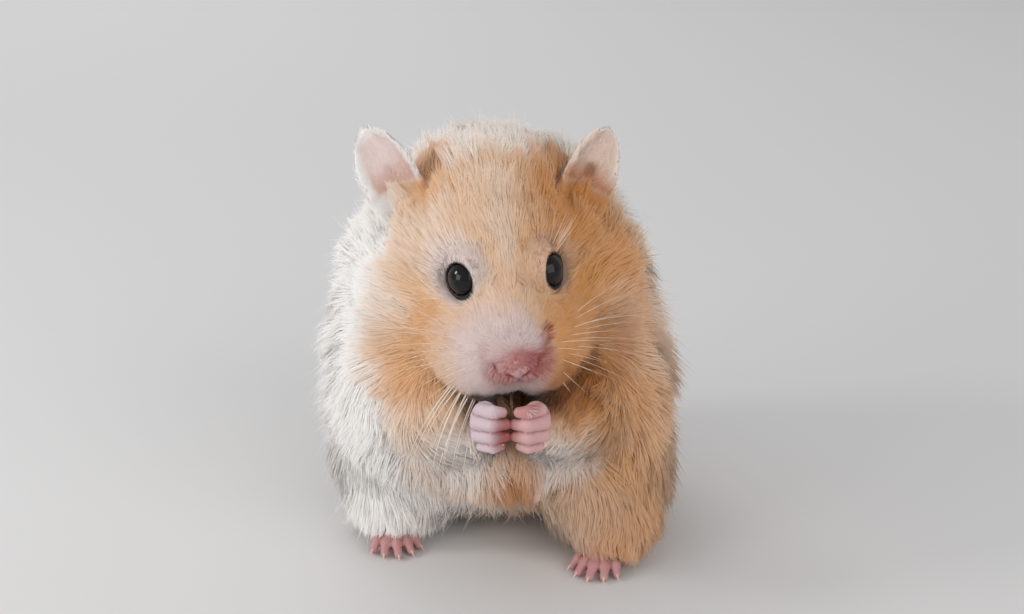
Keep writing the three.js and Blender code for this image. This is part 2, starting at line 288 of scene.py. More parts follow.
# %% Ears
EARS = {
    1: {"base": [16.4, -7, 77.2], "tip": [22.3, -3.5, 90.1], "facing": [0.45, -0.9, 0.15], "width": 11},
    -1: {"base": [-20, -8.5, 77], "tip": [-27.7, -5.5, 90.5], "facing": [-0.25, -1, 0.15], "width": 11.8},
}
EAR_THICK = (1.5, 1.0)  # at the base and at the tip
EAR_CUP = 2.4
EAR_ROOT = -0.5  # where it ends inside the head, as a part of its height


def ear_place(ear, p):
    """u, v, w of points on an ear: u along its height, v across in mm, w in front of its base."""
    up = np.array(ear["tip"], float) - ear["base"]
    height = np.linalg.norm(up)
    up = up / height
    face = np.array(ear["facing"], float)
    face = unit(face - (face @ up) * up)
    q = p - ear["base"]
    return q @ up / height, q @ np.cross(face, up), q @ face, height


def ear_half(ear, u):
    """Half the leaf's width: full at a third of the height, a little less at the root, and closing
    in a round tip."""
    above = np.clip((u - 0.32) / 0.68, 0, 1)
    below = np.clip((0.32 - u) / (0.32 - EAR_ROOT), 0, 1)
    return ear["width"] / 2 * np.clip(1 - above**2.1, 0, 1) ** 0.74 * (1 - 0.32 * below**2)


def ear_sheet(ear, u, v):
    """How far the leaf's middle surface stands in front of its base: cupped across, curled up."""
    half = np.maximum(ear_half(ear, u), 0.4)
    share = np.clip(np.abs(v) / half, 0, 1.3)
    cup = EAR_CUP * share**2 * half / (ear["width"] / 2)
    return cup + 1.9 * (u - 0.25) ** 2 - 1.2, share


def ear_distance(ear, p):
    """Distance to a leaf: off its middle surface by half its thickness, and inside its outline."""
    u, v, w, height = ear_place(ear, p)
    sheet, share = ear_sheet(ear, u, v)
    slope = np.sqrt(1 + (2 * EAR_CUP * share / (ear["width"] / 2)) ** 2)
    thick = EAR_THICK[0] + (EAR_THICK[1] - EAR_THICK[0]) * np.clip(u, 0, 1)
    wall = np.abs(w - sheet) / slope - thick / 2
    steep = (ear_half(ear, u + 0.01) - ear_half(ear, u - 0.01)) / (0.02 * height)
    edge = (np.abs(v) - ear_half(ear, u)) / np.sqrt(1 + steep**2)
    ends = np.maximum(u - 1, EAR_ROOT - u) * height
    return hollow(wall, np.maximum(edge, ends), 0.5)


# %% [markdown]
# ## Eyelids
# The eyes are nearly whole balls that look out to the sides. A lid is a thin shell round the ball
# with an almond opening, pointed a little towards the nose.

# %% Eyelids
LID = 0.62  # thickness of a lid
OPENING = math.radians(57)  # from the gaze to the lid's edge
EYE_CLEARANCE = 0.06  # between the ball and the skin round it
GAZE = {1: [0.86, -0.5, 0.36], -1: [-0.81, -0.57, 0.3]}


def eye_axes(side):
    """The way an eye looks, and its up and its forward directions across that."""
    gaze = unit(HEAD_TURN @ np.array(GAZE[side]))
    up = unit(HEAD_TURN[:, 2] - (HEAD_TURN[:, 2] @ gaze) * gaze)
    front = np.cross(gaze, up) * -side
    return gaze, up, front


def eye_place(side, p):
    """Distance from the middle of the eye, angle from its gaze, and the lid's edge there: wider
    towards the front and back corners, which makes the opening an almond."""
    gaze, up, front = eye_axes(side)
    q = p - EYES[side]
    reach = np.linalg.norm(q, axis=-1)
    angle = np.arccos(np.clip(q @ gaze / np.maximum(reach, 1e-6), -1, 1))
    around = np.arctan2(q @ up, q @ front)
    corner = np.maximum(np.cos(around + 0.5), 0) ** 6 + 0.5 * np.maximum(-np.cos(around), 0) ** 6
    return reach, angle, OPENING + 0.06 * corner


def lid_distance(side, p):
    """Distance to a lid: a shell round the ball, left open where the angle is under its edge's."""
    reach, angle, edge = eye_place(side, p)
    shell = np.abs(reach - EYE_RADIUS - LID / 2) - LID / 2
    return hollow(shell, (edge - angle) * EYE_RADIUS, 0.4)


def eye_socket(side, p):
    """Positive inside a ball a hair wider than the eye."""
    return EYE_RADIUS + EYE_CLEARANCE - np.linalg.norm(p - EYES[side], axis=-1)


for side in (1, -1):
    print("eye", side, "looks along", eye_axes(side)[0].round(2))

# %% [markdown]
# ## Nose and mouth
# Nostrils, the cleft under the nose and the line of the mouth are shallow grooves along lines, and
# are taken away from the skin. The fold beside the nose isn't cut: it is only painted shade, along a
# line too.

# %% Nose and mouth
MOUTH_LINE = [
    [-15, -24, -10.6],
    [-10.5, -28.3, -12.4],
    [-5, -29.8, -14.1],
    [0, -28.8, -14.4],
    [5, -29.8, -14],
    [10.6, -29, -11],
    [15.4, -25, -7.6],
]
MOUTH = np.array([on_head(p) for p in MOUTH_LINE])


def line_distance(points, line):
    """Distance to a line through some points, the least of those to its pieces."""
    best = np.full(points.shape[:-1], 1e3)
    for a, b in zip(line[:-1], line[1:]):
        t = np.clip((points - a) @ (b - a) / ((b - a) @ (b - a)), 0, 1)
        best = np.minimum(best, np.linalg.norm(points - a - t[..., None] * (b - a), axis=-1))
    return best


NOSTRIL = [(1.5, -32.2, -4.9), (3.0, -31.5, -4.3), (4.1, -29.7, -2.6)]
NOSE_FOLD = {
    1: [(3.2, -31.6, -4), (4.9, -29.6, -1.2), (5.4, -27.4, 1.6)],
    -1: [(-3.4, -31.4, -4.4), (-4.9, -29.2, -2.4), (-5.2, -28, -1)],
}


def nostril(side):
    """The line that a nostril is cut along."""
    return np.array([on_head([side * x, y, z]) for x, y, z in NOSTRIL])


def nose_fold(side):
    """The line of the fold behind the nose's wing."""
    return np.array([on_head(p) for p in NOSE_FOLD[side]])


def groove(line, radius, p):
    """Positive inside a round groove along a line."""
    return radius - line_distance(p, line)


CLEFT = np.array([on_head(p) for p in [(0, -32.8, -5.4), (0, -32.2, -8.8), (0, -30.4, -13)]])
CUTS = [(MOUTH, 0.7), (CLEFT, 0.5), (nostril(1), 0.66), (nostril(-1), 0.66)]  # line, radius
print("lid", LID, "mm thick,", len(CUTS), "cuts")


# %% [markdown]
# ## The field
# One function answers how far a point is from the surface of fur (depth 0) or of skin (depth 1).
# On a grid each form only touches the window around it, which keeps this fast.

# %% The field
def everything(depth):
    """(distance function, low corner, high corner, blend, way of joining) of each form in turn."""
    for near, low, high, blend in forms:
        yield partial(near, depth=depth), low, high, blend, melt
    if depth == 0:
        return
    for side, ear in EARS.items():
        at = (np.array(ear["base"]) + ear["tip"]) / 2
        yield partial(ear_distance, ear), at - 16, at + 16, 1.2, melt
        at = EYES[side]
        yield partial(lid_distance, side), at - 6, at + 6, 2.2, melt
        yield partial(eye_socket, side), at - 5, at + 5, 0.15, hollow
    for line, radius in CUTS:
        yield partial(groove, line, radius), line.min(0) - 2, line.max(0) + 2, 0.5, hollow


def field(p, depth):
    """Distance to the fur's outline (depth 0) or the skin (depth 1), negative inside."""
    total = np.full(p.shape[:-1], 1e3)
    for near, low, high, blend, join in everything(depth):
        reach = blend + 2 if join is melt else 1
        here = np.all((p > low - reach) & (p < high + reach), axis=-1)
        if here.any():
            total[here] = join(total[here], near(p[here]), blend)
    return hollow(total, -p[..., 2], 0.5)


def spacing(stops):
    """Grid places along an axis. Each stop is (place, cell size from there on)."""
    places = []
    for (a, cell), (b, _) in zip(stops[:-1], stops[1:]):
        places.append(np.linspace(a, b, max(int(round((b - a) / cell)), 1), endpoint=False))
    return np.append(np.concatenate(places), stops[-1][0])


def grid_field(axes, depth):
    """The field at every point of a grid."""
    total = np.full([len(a) for a in axes], 1e3)
    for near, low, high, blend, join in everything(depth):
        margin = blend + 3 if join is melt else 1
        start = [np.searchsorted(a, c - margin) for a, c in zip(axes, low)]
        stop = [np.searchsorted(a, c + margin) for a, c in zip(axes, high)]
        window = tuple(slice(a, b) for a, b in zip(start, stop))
        p = np.stack(np.meshgrid(*(a[w] for a, w in zip(axes, window)), indexing="ij"), -1)
        total[window] = join(total[window], near(p), blend)
    return hollow(total, np.broadcast_to(-axes[2], total.shape), 0.5)


# %% [markdown]
# ## The surface of a field
# The skin is the surface where the field is zero. A grid of cells lies over the body, finer at the
# face, paws and ears. Each cell that the surface crosses gets one point, at the mean of the
# crossings on its edges, and each crossed edge joins four such points with a face. This gives one
# closed skin with no seam anywhere.

# %% Surface of a field
def surface(axes, value):
    """Points and four-cornered faces of value = 0, facing out."""
    shape = [n - 1 for n in value.shape]
    count = np.zeros(np.prod(shape))
    total = np.zeros((len(count), 3))
    crossed = []
    for axis in range(3):
        first = np.moveaxis(value, axis, 0)[:-1]
        second = np.moveaxis(value, axis, 0)[1:]
        cells = np.argwhere((first < 0) != (second < 0))
        a, b = (v[tuple(cells.T)] for v in (first, second))
        cells = np.insert(cells[:, 1:], axis, cells[:, 0], axis=1)
        place = np.stack([axes[i][cells[:, i]] for i in range(3)], 1)
        step = np.diff(axes[axis])[cells[:, axis]]
        place[:, axis] += step * a / (a - b)
        s, t = (axis + 1) % 3, (axis + 2) % 3
        around = []
        for ds, dt in [(1, 1), (0, 1), (0, 0), (1, 0)]:
            cell = cells.copy()
            cell[:, s] -= ds
            cell[:, t] -= dt
            number = np.ravel_multi_index(cell.T, shape)
            around.append(number)
            count += np.bincount(number, minlength=len(count))
            for i in range(3):
                total[:, i] += np.bincount(number, weights=place[:, i], minlength=len(count))
        quad = np.stack(around, 1)
        crossed.append(np.where((a < 0)[:, None], quad, quad[:, ::-1]))
    used = np.flatnonzero(count)
    rank = np.zeros(len(count), int)
    rank[used] = np.arange(len(used))
    return total[used] / count[used, None], rank[np.concatenate(crossed)]


def corner_normals(points, quads):
    """The normal at each point, from the faces that meet there."""
    a, b, c, d = (points[quads[:, i]] for i in range(4))
    across = np.cross(c - a, d - b)
    normals = np.zeros_like(points)
    for i in range(3):
        normals[:, i] = sum(np.bincount(quads[:, k], across[:, i], len(points)) for k in range(4))
    return unit(normals)

# %% [markdown]
# ## The skin itself
# The grid's spacing is a list of stops along each axis, so that small cells are spent only where
# the face, ears and paws are. A few slides along the normals then bring the points on to the
# surface, each by the field's value at the point.

# %% The skin itself
SLIDES, LONGEST_SLIDE = 3, 0.12  # how often, and how far at a time, a point slides
AXES = [
    spacing([(-42, 1.1), (-33, 0.55), (-13, 0.42), (15, 0.5), (28, 0.6), (34, 1.1), (42, 1)]),
    spacing([(-46, 0.42), (-24, 0.52), (1, 1.3), (54, 1)]),
    spacing([(-1.5, 0.5), (6, 1.1), (31, 0.44), (71, 0.62), (94, 1)]),
]
points, quads = surface(AXES, grid_field(AXES, 1))
for _ in range(SLIDES):
    normals = corner_normals(points, quads)
    slide = np.clip(field(points, 1), -LONGEST_SLIDE, LONGEST_SLIDE)
    points = points - slide[:, None] * normals
normals = corner_normals(points, quads)
print("skin:", len(points), "points,", 2 * len(quads), "triangles")

# %% [markdown]
# ## Markings
# The animal is golden with a white right flank and a white band over its back, a pale muzzle and
# pale rings round its eyes, and an orange-brown left cheek. The markings are soft masks of place in
# the body's and the head's axes, and one function gives the colour of any point, so the skin and
# every lock on it always agree. Some masks are painted shade: along the mouth, in folds, creases
# and hollows, and under the body.

# %% Colours
def paint(red, green, blue):
    """A colour as seen on a screen, 0 to 255, in the linear values that shaders use."""
    c = np.array([red, green, blue]) / 255
    return np.where(c <= 0.04045, c / 12.92, ((c + 0.055) / 1.055) ** 2.4)


WHITE = paint(250, 248, 245)
CREAM = paint(242, 222, 204)
GOLD = paint(234, 196, 162)
AMBER = paint(220, 158, 102)
UMBER = paint(150, 90, 48)
MUZZLE = paint(230, 210, 206)
EYE_RING = paint(236, 221, 217)
PINK = paint(198, 148, 147)
NOSE_PINK = paint(190, 132, 130)
CUFF = paint(246, 238, 232)
LILAC = paint(214, 194, 200)
PALE_PINK = paint(214, 172, 170)
RED = paint(128, 50, 44)
EAR_INSIDE = paint(246, 228, 223)
EAR_PEACH = paint(247, 221, 203)
EAR_BASE = paint(204, 138, 98)
LID_RIM = paint(20, 13, 14)


def rise(value, low, high):
    """0 below low, 1 above high, and a soft step between. It falls instead where high < low."""
    t = np.clip((value - low) / (high - low), 0, 1)
    return t * t * (3 - 2 * t)


def spot(p, at, radii, soft=0.5):
    """1 inside an egg, fading to 0 outside it."""
    k = np.linalg.norm((p - np.array(at)) / radii, axis=-1)
    return rise(k, 1 + soft, 1 - soft)


def wander(p, size, seed):
    """A smooth random vector at each point, from -1 to 1 or so: the sum of six sine waves about
    size mm long that run in random directions."""
    rng = np.random.default_rng(seed)
    wave = unit(rng.normal(size=(6, 3))) * (2 * np.pi / size) * rng.uniform(0.7, 1.4, (6, 1))
    phase = rng.uniform(0, 2 * np.pi, (6, 3))
    return np.sin((p @ wave.T)[..., None] + phase).sum(-2) / np.sqrt(6) * 1.2


def mix(colours, other, mask):
    """Colours moved towards another by a mask from 0 to 1."""
    return colours + (np.asarray(other) - colours) * np.clip(mask, 0, 1)[..., None]


def dab(colour, p, rows):
    """Soft spots of colour, laid one over the other. A row is a paint, its strength, the axes that
    its place is given in, the middle and radii of an egg and, if it isn't a half, its softness."""
    places = {"head": in_head(p), "body": p}
    for hue, strength, axes, at, radii, *soft in rows:
        colour = mix(colour, hue, strength * spot(places[axes], at, radii, *soft))
    return colour


print("paints: white is", WHITE.round(2), "gold is", GOLD.round(2))

# %% [markdown]
# ## Golden side
# The left side of the face and body is deeper than the right, above all the cheek, and the edge of
# the left flank is paler. Small dabs then break up the gold, as no real coat is one even colour,
# and one of them is painted shade past the left corner of the mouth.

# %% Gold
GOLDEN_DABS = [
    (CREAM, 0.35, "head", [22, -20, -6], [6, 8, 7]),  # outer left cheek
    (AMBER * [0.9, 0.8, 0.6], 0.5, "head", [12.6, -3.8, 14.8], [6, 9, 7]),  # before the left ear
    (AMBER * [0.9, 0.75, 0.5], 0.6, "body", [18, -31, 44], [5, 6, 6]),  # under the left cheek
    (AMBER * 0.7, 0.6, "body", [19, -26, 17], [8, 10, 11]),  # left thigh
    (CREAM, 0.4, "body", [12, -24, 17], [12, 10, 9]),  # inside of the left thigh
    (AMBER, 0.5, "head", [-12, 7, 16], [7, 10, 8]),  # before the right ear
    (CREAM, 0.3, "head", [-2.5, -4, 17], [6.5, 14, 10]),  # crown
    # painted shade past the left corner of the mouth
    (UMBER, 0.5, "head", [17, -22, -8.5], [6, 9, 5]),  # past the left corner of the mouth
    (AMBER, 0.45, "head", [-14, -19, -2.5], [3.6, 5, 4.5]),  # under the right eye
    (AMBER, 0.4, "head", [-21, -19, -10], [8, 10, 8]),  # right cheek
    (AMBER, 0.35, "body", [-14, -31, 42], [7, 8, 6]),  # under the right cheek
]


def golden_parts(colour, p, drift):
    """Amber on the left of the head and body, cream along the left flank, and the dabs."""
    x, y, z = p.T
    left = rise(in_head(p)[:, 0] + 0.7 * drift, 1, 10)
    colour = mix(colour, AMBER, 0.9 * left * rise(z, 36, 52) * rise(y, 4, -8))
    colour = mix(colour, AMBER, 0.55 * rise(x + drift, 4, 20) * rise(z, 64, 44))
    colour = mix(colour, CREAM, 0.8 * rise(x + drift, 22, 32) * rise(z, 62, 50) * rise(z, 40, 47))
    colour = mix(colour, CREAM, 0.15 * rise(x + drift, 23, 33) * rise(z, 46, 40))
    return dab(colour, p, GOLDEN_DABS)


# %% [markdown]
# ## White flank and band
# The white covers the right flank up to a slanting edge, and a band crosses the back and joins it.
# Both edges are lines in height, blurred by the drift. The gold beside the ears comes after the
# white, since it lies over the band's front.

# %% White
FLANK_HEIGHT = [0, 10, 15, 20, 26, 34, 45, 60, 70, 90]
FLANK_EDGE = [-6, -5, -8, -13, -16.5, -19, -22, -22, -20, -19]  # x where the white starts
BAND_HEIGHT = [0, 30, 45, 63, 86]
BAND_FRONT = [9, 6, 1, -4, -9]  # y where the band starts, further back on the left
EAR_DABS = [
    (AMBER, 0.75, "body", [-13, -5, 79], [5.5, 5.5, 6.5]),  # beside the right ear
    (AMBER, 0.85, "body", [12, -5, 79], [6.5, 5.5, 6.5]),  # beside the left ear
    (AMBER * [0.9, 0.84, 0.84], 0.7, "body", [18, -9, 77.5], [6, 6, 5.5]),  # foot of the left ear
]


def white_parts(colour, p, drift):
    """The larger of the flank's and the band's masks is white, creamier on top of the band. Most of
    the rump stays golden, and the underside is white."""
    x, y, z = p.T
    edge = np.interp(z, FLANK_HEIGHT, FLANK_EDGE)
    flank = rise(edge - x + drift, -6.5, 4)
    front = np.interp(z, BAND_HEIGHT, BAND_FRONT) + 13 * rise(x, 8, 22)
    band = rise(y + drift - front, -5, 4)
    rump = spot(p, [6, 44, 22], [30, 22, 24], 0.3)
    white = np.maximum(flank, band * (1 - 0.85 * rump))
    creamy = mix(np.tile(WHITE, (len(p), 1)), CREAM, 0.6 * band * rise(z, 60, 80))
    colour = mix(colour, creamy, white)
    colour = mix(colour, WHITE, 0.8 * rise(z, 6, 2) * spot(p, [0, 10, 0], [26, 30, 8]))
    return dab(colour, p, EAR_DABS)


# %% [markdown]
# ## Face
# The muzzle is pale and reaches further round on the right. A pale ring goes round each eye, painted
# shade runs red up the fold from each wing of the nose, stronger on the left, and short pink fur
# with dark and pale specks edges the nose.

# %% Face
BROW_DABS = [
    (CREAM, 0.6, "head", [-15, -8, 10], [7, 7, 7]),  # right temple
    (CREAM, 0.55, "head", [0.5, -16, 14], [2.4, 9, 6]),  # blaze between the eyes
]
LIP_DABS = [(UMBER, 0.6, "head", [8.5, -30, -9], [4, 4.5, 4.4])]  # shade on the left lip
RING_OFFSET = [2.0, 0, 0.6]  # from the middle of the left eye to that of its ring
RING_STRENGTH = {1: 0.25, -1: 0.85}
FOLD_SHADE = {1: 0.9, -1: 0.25}
MUZZLE_NARROWING = {1: 1.85, -1: 0.98}  # how much faster than its width the pale mask falls off


def face_parts(colour, p, drift):
    """The muzzle's mask falls with the distance from the nose's middle line and with height."""
    h = in_head(p)
    narrowing = np.where(h[:, 0] > 0, MUZZLE_NARROWING[1], MUZZLE_NARROWING[-1])
    aside = narrowing * np.abs(h[:, 0] + 0.5)
    pale = rise(aside + 0.8 * np.maximum(h[:, 2] + 1, 0) + 0.5 * drift, 14, 6) * rise(h[:, 1], -16, -21)
    colour = mix(colour, MUZZLE, pale * rise(h[:, 2], 9, 2) * rise(h[:, 2], -18, -15.5))
    colour = dab(colour, p, BROW_DABS)
    for side in (1, -1):
        centre = EYES[side] + HEAD_TURN @ (np.array(RING_OFFSET) * [side, 1, 1])
        ring = rise(np.linalg.norm(p - centre, axis=-1), 7.2, 4.8)
        colour = mix(colour, EYE_RING, RING_STRENGTH[side] * ring)
        # painted shade, red, along the fold behind each wing of the nose
        fold = rise(line_distance(p, nose_fold(side)) + 0.35 * wander(p, 1.6, 32)[:, 0], 1.7, 0.3)
        colour = mix(colour, RED * 1.3, FOLD_SHADE[side] * fold)
    colour = dab(colour, p, LIP_DABS)
    nose_specks = wander(p, 0.7, 34)[:, 0]
    snout = spot(h, [0.4, -31, -4], [5.6, 4.2, 3.8], 0.4)
    colour = mix(colour, NOSE_PINK, 0.85 * snout)
    # painted shade, red, round the left nostril
    colour = mix(colour, RED * 1.5, 0.5 * spot(h, [3, -31, -2.6], [3.4, 3, 2.6]))
    colour = mix(colour, RED, 0.6 * snout * rise(nose_specks, -0.4, -1.0) * rise(h[:, 2], 0, -3))
    return mix(colour, PALE_PINK, 0.6 * spot(h, [0.2, -32, -5.2], [3, 3, 2]) * rise(nose_specks, 0.1, 0.8))


# %% [markdown]
# ## Chest, cuffs and chin
# White cuffs end the forelegs. The middle of the chest and the fold between the thighs are darker,
# partly their own deeper colour and partly painted shade, and painted shade darkens the fur along
# the mouth, under the chin and the left cheek, between the forepaws and under the belly.

# %% Chest and chin
CHEST_DABS = [
    (CREAM, 0.5, "body", [-14, -33, 38], [6, 7, 6]),  # right forearm
    # dark brown fold between the thighs: partly its own colour, partly painted shade
    (UMBER, 0.8, "body", [1.5, -25, 15], [5.5, 10, 9], 0.8),  # fold between the thighs
]
CUFF_DABS = [
    (CUFF, 0.95, "body", [-8.5, -31, 30.5], [9.5, 10, 7.5]),  # right cuff
    (CUFF, 0.9, "body", [12.5, -32, 30], [9, 10, 7.5]),  # left cuff
    (CUFF, 0.6, "body", [-14, -20, 14], [8, 9, 8]),  # right thigh
    # deep gold in the middle of the chest: partly its own colour, partly painted shade
    (AMBER * [0.7, 0.62, 0.55], 0.85, "body", [3, -30, 23], [6, 8, 10]),  # middle of the chest
    (CUFF, 0.9, "body", [-7, -20, 12], [9, 9, 8]),  # right of the belly
]
# painted shade under the muzzle, between the forepaws
THROAT_SHADE = [(RED * 0.8, 0.8, "body", [1.5, -28, 39], [6, 8, 5])]
# painted shade under the left cheek, past the corner of the mouth
JAW_SHADE = [(UMBER * 0.8, 0.6, "head", [12.5, -27.5, -12.5], [6.5, 6, 3.6])]


def lower_parts(colour, p):
    """Dabs from the arms down to the belly, some of them painted shade, then painted shade along
    the mouth and under the chin.
    """
    h, z = in_head(p), p[:, 2]
    colour = dab(colour, p, CHEST_DABS)
    colour = mix(colour, MUZZLE, 0.75 * rise(z, 14, 10) * spot(p, [2, -22, 10], [14, 12, 8]))
    colour = dab(colour, p, CUFF_DABS)
    # painted shade under the belly, near the floor
    colour = mix(colour, UMBER * 0.5, 0.8 * rise(z, 5, 1.5) * spot(p, [-1, -8, 0], [14, 12, 8]))
    colour = dab(colour, p, THROAT_SHADE + JAW_SHADE)
    # painted shade: the fur along the mouth and in the hollow under the chin is darkened
    near = line_distance(p, MOUTH) + 0.4 * wander(p, 2.4, 33)[:, 0]
    mouth = rise(near, 3, 0.8) * rise(h[:, 0], -16, -12) * (1 - 0.3 * rise(h[:, 0], 9, 14))
    chin = spot(h, [2, -26, -16.5], [8, 7, 3.6], 0.35)
    return mix(colour, UMBER * 0.4, 0.9 * np.maximum(mouth, chin))


def coat_colour(p):
    """The colour of the fur that grows at each point: gold with a little cream, and each part of
    the markings and of the painted shade laid over it in turn."""
    soft = wander(p, 14, 3)
    drift = 1.6 * soft[:, 0]
    colour = np.tile(GOLD, (len(p), 1))
    colour = mix(colour, CREAM, 0.35 * rise(soft[:, 1], 0.2, 1.2))
    colour = golden_parts(colour, p, drift)
    colour = white_parts(colour, p, drift)
    colour = face_parts(colour, p, drift)
    return lower_parts(colour, p)


print("mean colour of the coat:", coat_colour(points).mean(0).round(2))

# %% [markdown]
# ## Ears' colours
# The inside of an ear is bare and pale pink, with fine white hair along its rim. Masks of u, v and
# w, the ear's own places, say what is inside and what is rim.

# %% Ears' colours
def ear_masks(p):
    """How much each point belongs to an ear, to its inside, and to its rim."""
    on_ear, inside, rim = (np.zeros(len(p)) for _ in range(3))
    for side, ear in EARS.items():
        u, v, w, _ = ear_place(ear, p)
        sheet, share = ear_sheet(ear, u, v)
        here = rise(ear_distance(ear, p), 0.9, 0.2) * rise(u, 0, 0.14)
        on_ear = np.maximum(on_ear, here)
        inside = np.maximum(inside, here * rise(w - sheet, -0.3, 0.2))
        outer = rise(share, 0.55, 0.8) * rise(side * v, 0.5, -0.5)
        inner = 0.8 * rise(share, 0.8, 0.95) * rise(side * v, -0.5, 0.5)
        low = rise(u, 0.12, 0.4) if side > 0 else 1
        rim = np.maximum(rim, here * np.maximum(low * np.maximum(outer, inner), rise(u, 0.74, 0.92)))
    return on_ear, inside, rim


def ear_colour(p, inside, rim):
    """White at the rim, pink inside, warm at the base, and painted shade round the ear's opening. The
    left ear is more peach, and gold shows in its rim."""
    on_left = rise(p[:, 0], 0, 5)
    colour = mix(np.tile(CREAM, (len(p), 1)), EAR_INSIDE, inside)
    colour = mix(colour, EAR_PEACH, 0.8 * inside * on_left)
    for side, ear in EARS.items():
        u, _, _, height = ear_place(ear, p)
        near = rise(np.linalg.norm(p - np.array(ear["base"]), axis=-1), height * 1.2, height)
        colour = mix(colour, EAR_BASE, (0.9 if side > 0 else 0.5) * inside * near * rise(u, 0.55, 0.1))
        # painted shade round the ear's opening, deeper on the left ear
        canal = spot(p, ear["base"] + 0.32 * (np.array(ear["tip"]) - ear["base"]), [1.6, 3, 1.6])
        colour = mix(colour, UMBER, (0.7 if side > 0 else 0.15) * inside * canal)
    colour = mix(colour, AMBER, 0.45 * rim * on_left)
    return mix(colour, WHITE, (0.95 - 0.4 * on_left) * rim)


print("points on the ears:", int((ear_masks(points)[0] > 0.5).sum()))

# %% [markdown]
# ## Paws and tail
# The paws and the tail are bare. Where two fingers or toes meet, the crease is painted red as
# shade.

# %% Paws and tail
def creases(p):
    """1 in the creases between fingers and between toes, found where the two nearest digits are
    equally near."""
    nearest = np.full((2, len(p)), 1e3)
    for rods in digits:
        d = np.minimum(rods[0](p, 1), rods[1](p, 1))
        second = np.minimum(np.maximum(nearest[0], d), nearest[1])
        nearest = np.stack([np.minimum(nearest[0], d), second])
    return rise(nearest[1] - nearest[0], 0.55, 0.1) * rise(nearest[0], 1.5, 0.3)


def paw_mask(p):
    """1 on the bare part of the paws and on the tail."""
    hand = spot(p, HANDS + [0, 0.3, -0.3], [10.8, 7.2, 8.5], 0.12)
    feet = [spot(p, np.array(ball) + [0, -2, 0], [11, 10, 5.5], 0.15) for _, ball in FEET.values()]
    tail = spot(p, [-1.2, 49, 5], [5, 5.5, 6], 0.3)
    return np.max([hand, *feet, tail], axis=0)


print("points on paws and tail:", int((paw_mask(points) > 0.5).sum()))

# %% [markdown]
# ## Bare skin
# The skin starts as a deeper tone of the coat above it. Nose, lips, ears, paws and tail are laid
# over it, and a dark edge goes round the lids. Painted shade darkens the nostrils, the cleft, the
# mouth's groove and the creases between the digits.

# %% Bare skin
NOSE_DABS = [(LILAC, 0.7, "head", [0.3, -32.2, -5.6], [2.8, 2, 1.8])]
NOSTRIL_SHADE = {1: 0.9, -1: 1.5}
HAND_DABS = [
    # painted shade between the hands
    (RED * 1.3, 0.9, "body", HANDS + [-1.2, -2, -0.8], [2.4, 4, 4.4], 0.7),  # between the hands
    (RED * 1.6, 0.45, "body", HANDS + [3.4, -3, 4.6], [3, 3, 1.6]),  # top of the left hand
]


def face_skin(colour, bare, p):
    """Nose, lips, nostrils and lids laid over a colour, and how bare they are."""
    h = in_head(p)
    nose = spot(h, [0, -31, -4.4], [4.6, 3.6, 3.4], 0.25)
    lips = spot(h, [0, -30.8, -9.5], [4.6, 4, 4.8], 0.35)
    mottle = wander(p, 1.1, 31)[:, 0]
    colour = mix(colour, PALE_PINK, 0.4 * lips)
    colour = mix(colour, PINK, nose)
    colour = mix(colour, RED * 1.6, 0.6 * nose * rise(mottle, 0, 1.2))
    colour = mix(colour, LILAC, 0.5 * nose * rise(mottle, -0.2, -1.4))
    colour = dab(colour, p, NOSE_DABS)
    bare = np.maximum(bare, np.maximum(nose, 0.4 * lips))
    for side in (1, -1):
        # painted shade: each nostril is dark red, deeper on the left
        hole = rise(line_distance(p, nostril(side)), 1.1, 0.55)
        colour = mix(colour, RED * NOSTRIL_SHADE[side], hole)
        reach, angle, edge = eye_place(side, p)
        lid = rise(reach, EYE_RADIUS + 1.3, EYE_RADIUS + 0.9) * rise(angle - edge, 0.11, 0.04)
        colour = mix(colour, LID_RIM, lid)
        bare = np.maximum(bare, lid)
    # painted shade in the cleft under the nose and along the groove of the mouth
    colour = mix(colour, RED * 0.6, rise(line_distance(p, CLEFT), 0.8, 0.3))
    return mix(colour, UMBER * 0.35, rise(line_distance(p, MOUTH), 1.4, 0.6)), bare


def skin_look(p):
    """Colour of the skin at each point, a little deeper than the coat's, and how bare it is."""
    colour, bare = face_skin(coat_colour(p) * 0.9, np.zeros(len(p)), p)

    on_ear, inside, rim = ear_masks(p)
    colour = mix(colour, ear_colour(p, inside, rim), on_ear)
    bare = np.maximum(bare, 0.8 * on_ear)

    paws = paw_mask(p)
    high = rise(p[:, 2], 30, 34)
    hands = mix(np.tile(PALE_PINK, (len(p), 1)), LILAC, rise(p[:, 0] - HANDS[0], 0, -3))
    colour = mix(colour, hands * high[:, None] + PINK * (1 - high[:, None]), paws)
    colour = dab(colour, p, HAND_DABS)
    # painted shade: the creases between the digits are darkened red
    colour = mix(colour, RED * 1.2, 0.6 * creases(p) * paws)
    return colour, np.maximum(bare, paws)


skin_colour, bare = skin_look(points)
print("bare skin:", round(100 * (bare > 0.5).mean()), "% of the points")

# %% [markdown]
# ## Materials
# Fur and skin read their colour from the mesh. One node group, used by both, gives it the fine
# change that hair has: deeper at the root, lighter at the tip, and a little different from lock to
# lock. The shaders keep their sheen and gloss as plain values.

# %% Fur tone
def node_group(name, inputs):
    """An empty group with named inputs and one colour coming out, and the sockets inside it."""
    group = bpy.data.node_groups.new(name, "ShaderNodeTree")
    for label, kind in inputs.items():
        group.interface.new_socket(label, in_out="INPUT", socket_type="NodeSocket" + kind)
    group.interface.new_socket("Colour", in_out="OUTPUT", socket_type="NodeSocketColor")
    start = group.nodes.new("NodeGroupInput")
    end = group.nodes.new("NodeGroupOutput")
    return group, start.outputs, end.inputs["Colour"]


